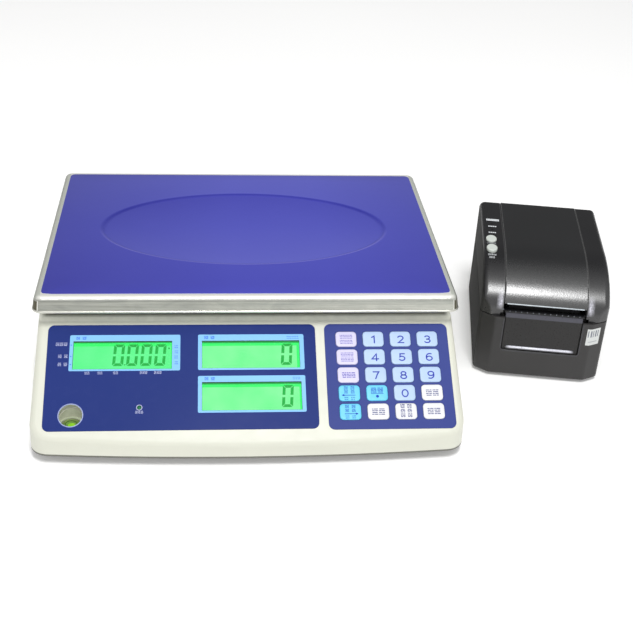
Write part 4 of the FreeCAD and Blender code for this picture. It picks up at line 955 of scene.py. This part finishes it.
# small generic marks on the frames
FT0, FT1 = 0.12, 0.15
marks = [glyph(-134.2, -11.4, 2.8, 2.3, 0.5, FT0, FT1, 1), glyph(-129.2, -11.4, 3.0, 2.3, 0.5, FT0, FT1, 0)]
for j, v in enumerate((19.3, 23.8, 28.2, 33.2)):
    marks.append(glyph(-57.2 + 0.2 * (j % 2), -v, 2.7, 2.1, 0.48, FT0, FT1, j))
for j, v in enumerate((17.4, 27.2, 34.0)):
    marks.append(slab([(-139.6, -v - 0.6), (-138.5, -v), (-139.6, -v + 0.6)], FT0, FT1))
make("frame_marks_weight", join(*marks), MATS["frame_text"], M_PANEL, "scale")
marks = [glyph(-33.6, -11.4, 3.1, 2.5, 0.52, FT0, FT1, 2), glyph(-28.6, -11.4, 3.1, 2.5, 0.52, FT0, FT1, 0)]
for j in range(5):
    marks.append(glyph(31.4 + 1.95 * j, -11.6, 1.6, 2.1, 0.48, FT0, FT1, j * 3 + 1))
make("frame_marks_unit", join(*marks), MATS["frame_text"], M_PANEL, "scale")
marks = [glyph(-33.4, -47.0, 3.0, 2.4, 0.52, FT0, FT1, 1), glyph(-28.4, -47.0, 3.0, 2.4, 0.52, FT0, FT1, 0)]
for j in range(3):
    marks.append(glyph(35.0 + 2.1 * j, -47.0, 1.6, 1.8, 0.44, FT0, FT1, j * 3 + 1))
make("frame_marks_count", join(*marks), MATS["frame_text"], M_PANEL, "scale")

# white legends on the blue sheet
PT0, PT1 = 0.09, 0.13
marks = []
for v, n_ in ((16.6, 3), (27.0, 2), (33.9, 2)):
    x0 = -149.9 if n_ == 3 else -147.6
    step = 3.1 if n_ == 3 else 4.6
    for j in range(n_):
        marks.append(glyph(x0 + step * j, -v, 2.7, 2.6, 0.44, PT0, PT1, j * 2 + int(v)))
for x0, n_ in ((-127.0, 2), (-117.0, 2), (-105.0, 2), (-84.4, 3), (-73.4, 3)):
    for j in range(n_):
        marks.append(glyph(x0 + 2.05 * j, -41.4, 1.7, 2.1, 0.4, PT0, PT1, j + n_))
for j in range(3):
    marks.append(glyph(-87.0 + 2.1 * j, -74.4, 1.7, 2.0, 0.4, PT0, PT1, j + 1))
make("legends_white", join(*marks), MATS["legend_white"], M_PANEL, "scale")
make("led_ring_print", ring_plate((LED_U - 2.35, LED_U + 2.35, LED_V - 2.35, LED_V + 2.35), (LED_U - 1.9, LED_U + 1.9, LED_V - 1.9, LED_V + 1.9), 0.09, 0.14, 2.34, 1.89),
     MATS["ring_print"], M_PANEL, "scale")

# charge lamp dome
m = Mat("led_lens_green", rough=0.4, ior=1.45, Specular_IOR_Level=0.25)
m.set("Base Color", m.ramp(m.noise(900.0, 2.0), [(0.3, lin((10, 84, 50))), (0.7, lin((20, 104, 64)))]))
MATS["led"] = m.m
rings = [ell(1.65, 1.65, 24, LED_U, -LED_V, -6.0), ell(1.65, 1.65, 24, LED_U, -LED_V, 0.0)]
for j in range(1, 6):
    a = math.radians(15 * j)
    rings.append(ell(1.65 * math.cos(a), 1.65 * math.cos(a), 24, LED_U, -LED_V, 0.42 * math.sin(a)))
make("charge_led_lens", loft(rings), MATS["led"], M_PANEL, "scale", ["charge_led"])

# --------------------------------------------------------------------- level
rings = lambda r0, r1, z0, z1: loft([ell(r1, r1, 64, LEVEL_U, -LEVEL_V, z0), ell(r1, r1, 64, LEVEL_U, -LEVEL_V, z1), ell(r0, r0, 64, LEVEL_U, -LEVEL_V, z1), ell(r0, r0, 64, LEVEL_U, -LEVEL_V, z0)], closed=True)
make("level_rim_print", rings(9.0, 9.72, 0.06, 0.16), MATS["rim_print"], M_PANEL, "scale")


def disc_stack(levels, n=56, cx=LEVEL_U, cy=LEVEL_Y):
    return loft([ell(r, r, n, cx, cy, z) for r, z in levels])


m = Mat("vial_cup_olive", rough=0.2, ior=1.5)
m.set("Base Color", m.ramp(m.noise(240.0, 2.0), [(0.3, lin((104, 120, 72))), (0.7, lin((138, 156, 92)))]))
m.set("Coat Weight", 0.5)
MATS["vial_cup"] = m.m
# painted light: the fluid and the bubble glow faintly, though the level has no lamp
MATS["vial_fluid"] = glow("vial_fluid_green", (70, 98, 48), (104, 138, 54), 0.4, 300.0, base=lin((92, 122, 56)), rough=0.1, spec=0.4)
MATS["vial_bubble"] = glow("vial_bubble_lime", (120, 180, 24), (146, 202, 48), 0.6, 500.0, base=lin((96, 148, 24)), rough=0.08, spec=0.4)
MATS["clamp"] = plastic("level_clamp_ivory", (176, 184, 158), rough=0.45).m
MATS["vial_line"] = plastic("vial_line_black", (18, 22, 10), rough=0.4).m
make("level_cup", disc_stack([(7.5, 20.6), (7.5, 26.3), (7.2, 26.8), (6.6, 27.1), (6.2, 27.1), (5.9, 26.7), (5.8, 26.2)]), MATS["vial_cup"], M_SCALE, "scale", ["level_vial"])
make("level_fluid", disc_stack([(5.75, 26.0), (5.75, 26.35), (5.2, 26.75), (3.5, 26.95), (1.6, 27.02)]), MATS["vial_fluid"], M_SCALE, "scale")
cx_, cy_ = LEVEL_U, LEVEL_Y
make("level_target_ring", loft([ell(4.55, 4.55, 40, cx_, cy_, 26.80), ell(4.55, 4.55, 40, cx_, cy_, 26.99), ell(4.2, 4.2, 40, cx_, cy_, 27.0), ell(4.2, 4.2, 40, cx_, cy_, 26.80)], closed=True), MATS["vial_line"], M_SCALE, "scale")
make("level_bubble", disc_stack([(2.75, 26.95), (2.8, 27.05), (2.2, 27.15), (1.0, 27.2)], 32, cx_ + 0.6, cy_ - 1.6), MATS["vial_bubble"], M_SCALE, "scale")
make("level_clamp_ring", loft([ell(9.6, 9.6, 56, cx_, cy_, 27.02), ell(9.5, 9.5, 56, cx_, cy_, 27.35), ell(7.9, 7.9, 56, cx_, cy_, 27.35), ell(7.7, 7.7, 56, cx_, cy_, 27.02)], closed=True), MATS["clamp"], M_SCALE, "scale")

# ---------------------------------------------------------------------- keys
LAYOUT = [["key_lavender", "key_blue", "key_blue", "key_blue"], ["key_lavender", "key_blue", "key_blue", "key_blue"],
          ["key_lavender", "key_blue", "key_blue", "key_blue"], ["key_cyan", "key_cyan", "key_blue", "key_white"],
          ["key_cyan", "key_white", "key_white", "key_white"]]
NUMBERS = {(0, 1): "1", (0, 2): "2", (0, 3): "3", (1, 1): "4", (1, 2): "5", (1, 3): "6", (2, 1): "7", (2, 2): "8", (2, 3): "9", (3, 2): "0"}


def key_cap(u, v):
    hw, hh = KEY_W / 2, KEY_H / 2
    prof = [(0.0, -1.85), (0.0, 0.10), (0.02, 0.34), (0.12, 0.55), (0.30, 0.70), (0.55, 0.79), (1.0, 0.83)]
    rg = [rr(hw - i, hh - i, KEY_R - i * 0.5, 8, u, -v, z) for i, z in prof]
    for k, z in ((0.78, 0.855), (0.5, 0.88), (0.22, 0.895)):
        rg.append(rr(hw * k, hh * k, 2.4 * k, 8, u, -v, z))
    return loft(rg)


for r_, v in enumerate(KEY_V):
    for c_, u in enumerate(KEY_U):
        body = "key_r%dc%d" % (r_ + 1, c_ + 1)
        kind = LAYOUT[r_][c_]
        make("keycap_r%dc%d" % (r_ + 1, c_ + 1), key_cap(u, v), MATS[kind], M_PANEL, body, [body], sharp=50)
        z0, z1 = 0.80, 0.925
        y = -v
        if (r_, c_) in NUMBERS:
            make("numeral_" + NUMBERS[(r_, c_)], digit(NUMBERS[(r_, c_)], u + 0.3, y - 0.6, 6.3, 0.98, z0, z1), MATS["digit_print"], M_PANEL, body)
            continue
        p, mt = [], "legend_slate"
        if r_ < 2:
            for yy in (2.0, -2.5):
                for j in range(4):
                    p.append(glyph(u - 3.9 + 2.6 * j, y + yy, 2.3, 3.1, 0.5, z0, z1, j + r_ * 2))
            mt = "legend_purple"
        elif (r_, c_) == (2, 0):
            for j in range(3):
                p.append(glyph(u - 3.2 + 3.6 * j, y - 0.2, 3.2, 4.4, 0.6, z0, z1, j + 1))
            mt = "legend_purple"
        elif (r_, c_) in ((3, 0), (4, 0)):
            for yy in (4.2, 0.9):
                for xx in (-2.6, 2.6):
                    p.append(glyph(u + xx, y + yy, 3.0, 2.5, 0.5, z0, z1, int(yy + xx) % 5))
            for xx in (-2.6, 2.6):
                p.append(glyph(u + xx, y - 4.5, 3.0, 2.1, 0.5, z0, z1, 2))
            s = -1 if r_ == 3 else 1
            p.append(bar(u - 4.6, y - 2.15, u + 4.6, y - 1.6, z0, z1, 0.1))
            p.append(slab([(u + s * 4.2, y - 0.9), (u + s * 4.2, y - 2.8), (u + s * 6.2, y - 1.85)], z0, z1))
            mt = "legend_navy"
        elif (r_, c_) == (3, 1):
            for j in range(2):
                p.append(glyph(u - 2.6 + 5.2 * j, y + 2.2, 4.4, 4.0, 0.6, z0, z1, 3 - 2 * j))
            p.append(bar(u - 5.0, y - 0.9, u + 5.0, y - 0.5, z0, z1, 0.1))
            p.append(slab([(a_, b_) for a_, b_, _ in ell(1.15, 1.15, 20, u + 0.1, y - 3.0)], z0, z1))
            mt = "legend_navy"
        elif (r_, c_) == (4, 2):
            for yy in (4.2, 0.3, -3.6):
                for xx in (-2.7, 2.7):
                    p.append(glyph(u + xx, y + yy, 3.5, 2.9, 0.62, z0, z1, int(yy * 2 + xx) % 5))
        else:
            for j in range(2):
                p.append(glyph(u - 2.7 + 5.4 * j, y - 0.3, 4.7, 5.0, 0.64, z0, z1, j * 3 + r_ + c_))
        make("legend_r%dc%d" % (r_ + 1, c_ + 1), join(*p), MATS[mt], M_PANEL, body)

# ------------------------------------------------------- on and off on the rocker
M_ROCK = M_SCALE @ Matrix.Translation((-0.084, 0.1125, 0.036)) @ Matrix.Rotation(math.radians(8.0), 4, "X")


def on_rocker(data):
    v, f = data
    return [(x, 5.4 + 1.8 / 6.5 * abs(z) + y, z) for x, z, y in v], f


make("rocker_mark_on", on_rocker(bar(-0.35, 2.1, 0.35, 4.7, -0.05, 0.06, 0.1)), MATS["legend_white"], M_ROCK, "rocker")
make("rocker_mark_off", on_rocker(ribbon(arc(0, -3.4, 1.25, 1.25, 0, 345, 24), 0.5, -0.05, 0.06, closed=True)), MATS["legend_white"], M_ROCK, "rocker")

# ------------------------------------------------------------ printer details
def hood_z(x, y):
    """Height of the hood's outer surface at (u, w)."""
    z = 97.0 if y >= 66 else 64.0 + 33.0 * math.sqrt(max(0.0, 1 - ((66 - y) / 63.0) ** 2))
    if abs(x) > 49:
        z -= 5.0 - math.sqrt(max(0.0, 25.0 - (abs(x) - 49) ** 2))
    return z


def drape(data):
    """Lay flat marks over the hood."""
    v, f = data
    return [(x, y, z + hood_z(x, y)) for x, y, z in v], f


def cells(x0, y0, x1, y1, n, gap, z0, z1):
    """A row of n small bars."""
    w_ = (x1 - x0 - gap * (n - 1)) / n
    return join(*[bar(x0 + k * (w_ + gap), y0, x0 + k * (w_ + gap) + w_, y1, z0, z1, 0.15) for k in range(n)])


M0, M1 = -0.03, 0.06
marks = [cells(-49.4, 110.6, -37.8, 114.4, 9, 0.28, M0, M1), bar(-49.4, 110.6, -37.8, 111.4, M0, M1, 0.1), bar(-49.4, 113.6, -37.8, 114.4, M0, M1, 0.1),
         cells(-48.2, 98.2, -40.8, 100.0, 4, 0.35, M0, M1), cells(-48.2, 85.6, -41.6, 87.4, 4, 0.35, M0, M1)]
for j in range(6):
    marks.append(glyph(-49.6 + 1.3 * j, 65.4, 1.05, 1.7, 0.4, M0, M1, j))
for j in range(5):
    marks.append(glyph(-49.4 + 1.5 * j, 46.4, 1.2, 2.0, 0.4, M0, M1, j + 1))
for j in range(3):
    marks.append(glyph(-48.4 + 1.7 * j, 42.6, 1.4, 2.2, 0.42, M0, M1, j * 2 + 1))
make("printer_marks", drape(join(*marks)), MATS["mark_white"], M_PRINTER, "printer")
for k, (x_, y_) in enumerate(((-44.6, 104.6), (-44.6, 92.4))):
    make("printer_lamp_%d" % (k + 1), drape(slab([(a_, b_) for a_, b_, _ in ell(1.0, 1.2, 20, x_, y_)], -0.05, 0.12)), MATS["lamp_dark"], M_PRINTER, "printer")


def tube(x0, x1, y, z, ry, rz, n=16, ends=0.6):
    """Round bar along u with softened ends."""
    out = []
    for x, k in ((x0, 0.25), (x0 + ends * 0.3, 0.72), (x0 + ends, 1.0), (x1 - ends, 1.0), (x1 - ends * 0.3, 0.72), (x1, 0.25)):
        out.append([(x, y + ry * k * math.cos(2 * math.pi * i / n), z + rz * k * math.sin(2 * math.pi * i / n)) for i in range(n)])
    return loft(out)


# rounded front edge of the lid, light grey as a painted highlight; rolled lip of the cover, which carries a painted
# highlight
make("lid_front_edge", tube(-32.6, 32.6, 3.0, 72.2, 0.55, 0.5), MATS["edge_silver"], M_PRINTER, "lid")
make("cover_rolled_lip", tube(-29.6, 29.6, 1.55, 30.1, 1.75, 1.6, ends=1.4), MATS["lip"], M_PRINTER, "printer")
# grey strips that close most of the depth of the two gaps along the lid, lighter than the black round them: painted
# light in the gaps' shade
def gap_strip(side):
    ws = [6 + 3 * k for k in range(36)]
    rings = []
    for w_ in ws:
        z = hood_z(0, w_)
        rings.append([(side * 34.80, w_, z - 1.3), (side * 34.98, w_, z - 1.3), (side * 34.98, w_, z - 0.3), (side * 34.80, w_, z - 0.3)])
    return loft(rings)


make("lid_gap_strips", join(gap_strip(-1), gap_strip(1)), MATS["seam_grey"], M_PRINTER, "printer")

# soft raised rim round the cover's recess, a little lighter than the base as a painted highlight on the recess edge
rim_ = [(-33.6, 58.6), (-33.6, 31.4)] + [(-30.2 + 3.4 * math.cos(math.radians(a)), 30.6 + 3.4 * math.sin(math.radians(a))) for a in (195, 215, 235, 255)] \
    + [(-28.6, 27.2), (28.6, 27.2)] + [(30.2 + 3.4 * math.cos(math.radians(a)), 30.6 + 3.4 * math.sin(math.radians(a))) for a in (285, 305, 325, 345)] + [(33.6, 31.4), (33.6, 58.6)]
rv, rf = ribbon(rim_, 0.9, -0.05, 0.16)
make("recess_rim", ([(x, -z, y) for x, y, z in rv], rf), MATS["rim_black"], M_PRINTER, "printer")

# pins along the tear bar, and its two ends
pins = [bar(4.9 * k - 0.35, 2.0, 4.9 * k + 0.35, 2.7, 64.9, 65.7, 0.1) for k in range(-6, 7)]
make("tear_bar_pins", join(*pins), MATS["pin_grey"], M_PRINTER, "printer")
make("tear_bar_ends", join(bar(-36.2, 2.0, -34.9, 3.0, 66.6, 67.1, 0.2), bar(34.9, 2.0, 36.2, 3.0, 66.6, 67.1, 0.2)), MATS["pin_grey"], M_PRINTER, "printer")

# paper seal wrapped round the right front corner of the base
t_ = math.atan2(8.0, 13.0)
tl = 5.0 * math.tan(t_ / 2)
path = [(41 - tl - 2.0, 0.0, 0, -1), (41 - tl - 1.0, 0.0, 0, -1)]
for k in range(7):
    a_ = t_ * k / 6
    path.append((41 - tl + 5.0 * math.sin(a_), 5.0 - 5.0 * math.cos(a_), math.sin(a_), -math.cos(a_)))
for d_ in (2.5, 5.0, 7.2, 8.6):
    path.append((41 + (tl + d_) * math.cos(t_), (tl + d_) * math.sin(t_), math.sin(t_), -math.cos(t_)))


def wrap(z0, z1, a0, a1, off0, off1):
    """Piece of the wrapped paper between arc lengths a0..a1."""
    ln = [0.0]
    for k in range(1, len(path)):
        ln.append(ln[-1] + math.hypot(path[k][0] - path[k - 1][0], path[k][1] - path[k - 1][1]))

    def at(sv):
        sv = min(max(sv, 0), ln[-1])
        k = max(i_ for i_ in range(len(ln) - 1) if ln[i_] <= sv + 1e-9)
        q = (sv - ln[k]) / (ln[k + 1] - ln[k])
        return [path[k][i_] + (path[k + 1][i_] - path[k][i_]) * q for i_ in range(4)]

    n_ = max(2, int((a1 - a0) / 0.8) + 1)
    rings_ = []
    for k in range(n_ + 1):
        x, y, nx_, ny_ = at(a0 + (a1 - a0) * k / n_)
        rings_.append([(x + nx_ * o_, y + ny_ * o_, z) for o_, z in ((off0, z0), (off1, z0), (off1, z1), (off0, z1))])
    return loft(rings_)


make("seal_paper", wrap(39.4, 55.4, 0.0, 12.8, -0.1, 0.10), MATS["sticker"], M_PRINTER, "printer")
bars_ = [wrap(47.4, 53.6, 0.9 + 2.3 * k, 0.9 + 2.3 * k + (1.2 if k % 2 else 0.8), 0.08, 0.13) for k in range(5)]
bars_ += [wrap(42.6, 43.0, 2.0, 10.6, 0.08, 0.13)]
make("seal_print", join(*bars_), MATS["sticker_grey"], M_PRINTER, "printer")

# ------------------------------------------------------------- floor and light
fl = Mat("studio_floor", rough=0.6)
fl.set("Base Color", fl.ramp(fl.noise(1.4, 2.0), [(0.3, (0.93, 0.93, 0.925, 1)), (0.7, (0.95, 0.95, 0.945, 1))]))
fl.set("Emission Color", (1, 1, 1, 1))
fl.set("Emission Strength", 0.17)
me = bpy.data.meshes.new("studio_floor")
R = 6.0
me.from_pydata([(R * math.cos(2 * math.pi * i / 96), R * math.sin(2 * math.pi * i / 96), 0) for i in range(96)], [], [tuple(range(96))])
me.materials.append(fl.m)
floor = bpy.data.objects.new("studio_floor", me)
bpy.context.scene.collection.objects.link(floor)

w = bpy.data.worlds.new("studio")
bpy.context.scene.world = w
w.use_nodes = True
nt = w.node_tree
nt.nodes.clear()
wo = nt.nodes.new("ShaderNodeOutputWorld")
bg = nt.nodes.new("ShaderNodeBackground")
tc = nt.nodes.new("ShaderNodeTexCoord")
sep = nt.nodes.new("ShaderNodeSeparateXYZ")
rp = nt.nodes.new("ShaderNodeValToRGB")
mr = nt.nodes.new("ShaderNodeMapRange")
nt.links.new(tc.outputs["Generated"], sep.inputs[0])
nt.links.new(sep.outputs[2], mr.inputs["Value"])
mr.inputs["From Min"].default_value, mr.inputs["From Max"].default_value = -1, 1
nt.links.new(mr.outputs[0], rp.inputs[0])
e = rp.color_ramp.elements
e[0].position, e[0].color = 0.0, (0.85, 0.85, 0.85, 1)
e[1].position, e[1].color = 1.0, (0.86, 0.86, 0.86, 1)
x = e.new(0.5); x.color = (0.84, 0.84, 0.84, 1)
x = e.new(0.75); x.color = (0.85, 0.85, 0.85, 1)
nt.links.new(rp.outputs[0], bg.inputs[0])
back = nt.nodes.new("ShaderNodeMapRange")
back.interpolation_type = "SMOOTHSTEP"
nt.links.new(sep.outputs[1], back.inputs["Value"])
back.inputs["From Min"].default_value, back.inputs["From Max"].default_value = -0.08, 0.64
back.inputs["To Min"].default_value, back.inputs["To Max"].default_value = 0.98, 0.17
nt.links.new(back.outputs[0], bg.inputs[1])
nt.links.new(bg.outputs[0], wo.inputs[0])


def area(name, loc, aim, sx, sy, power, colour=(1, 1, 1)):
    li = bpy.data.lights.new(name, "AREA")
    li.shape = "RECTANGLE"
    li.size, li.size_y = sx, sy
    li.energy = power
    li.color = colour
    o = bpy.data.objects.new(name, li)
    bpy.context.scene.collection.objects.link(o)
    o.location = loc
    o.rotation_euler = (Vector(aim) - Vector(loc)).to_track_quat("-Z", "Y").to_euler()
    return o


area("key_softbox", (0.03, -1.06, 2.42), (0.05, -0.05, 0.08), 0.5, 0.84, 40.0)

# --------------------------------------------------------------------- camera
F_PX, YAW, PITCH, ROLL = 1118.64022, -0.09093, 0.54126, 0.04312
CAM = Vector((OX - 0.02837302, OY - 0.88279217, 0.54629179))
fwd = Vector((-math.sin(YAW) * math.cos(PITCH), math.cos(YAW) * math.cos(PITCH), -math.sin(PITCH)))
right0 = Vector((math.cos(YAW), math.sin(YAW), 0))
up0 = right0.cross(fwd)
rt = math.cos(ROLL) * right0 + math.sin(ROLL) * up0
up = -math.sin(ROLL) * right0 + math.cos(ROLL) * up0
cd = bpy.data.cameras.new("camera")
cd.sensor_width = 36.0
cd.lens = F_PX / 633.0 * 36.0
cd.shift_x = (316.5 - 300.0) / 633.0
cd.shift_y = -0.0011
cd.clip_start, cd.clip_end = 0.05, 30
cam = bpy.data.objects.new("camera", cd)
bpy.context.scene.collection.objects.link(cam)
Mc = Matrix((rt, up, -fwd)).transposed().to_4x4()
Mc.translation = CAM
cam.matrix_world = Mc
bpy.context.scene.camera = cam

bpy.context.scene.view_settings.view_transform = "Standard"
bpy.context.scene.view_settings.look = "None"
bpy.context.scene.view_settings.exposure = 0.0
bpy.context.scene.view_settings.gamma = 1.0
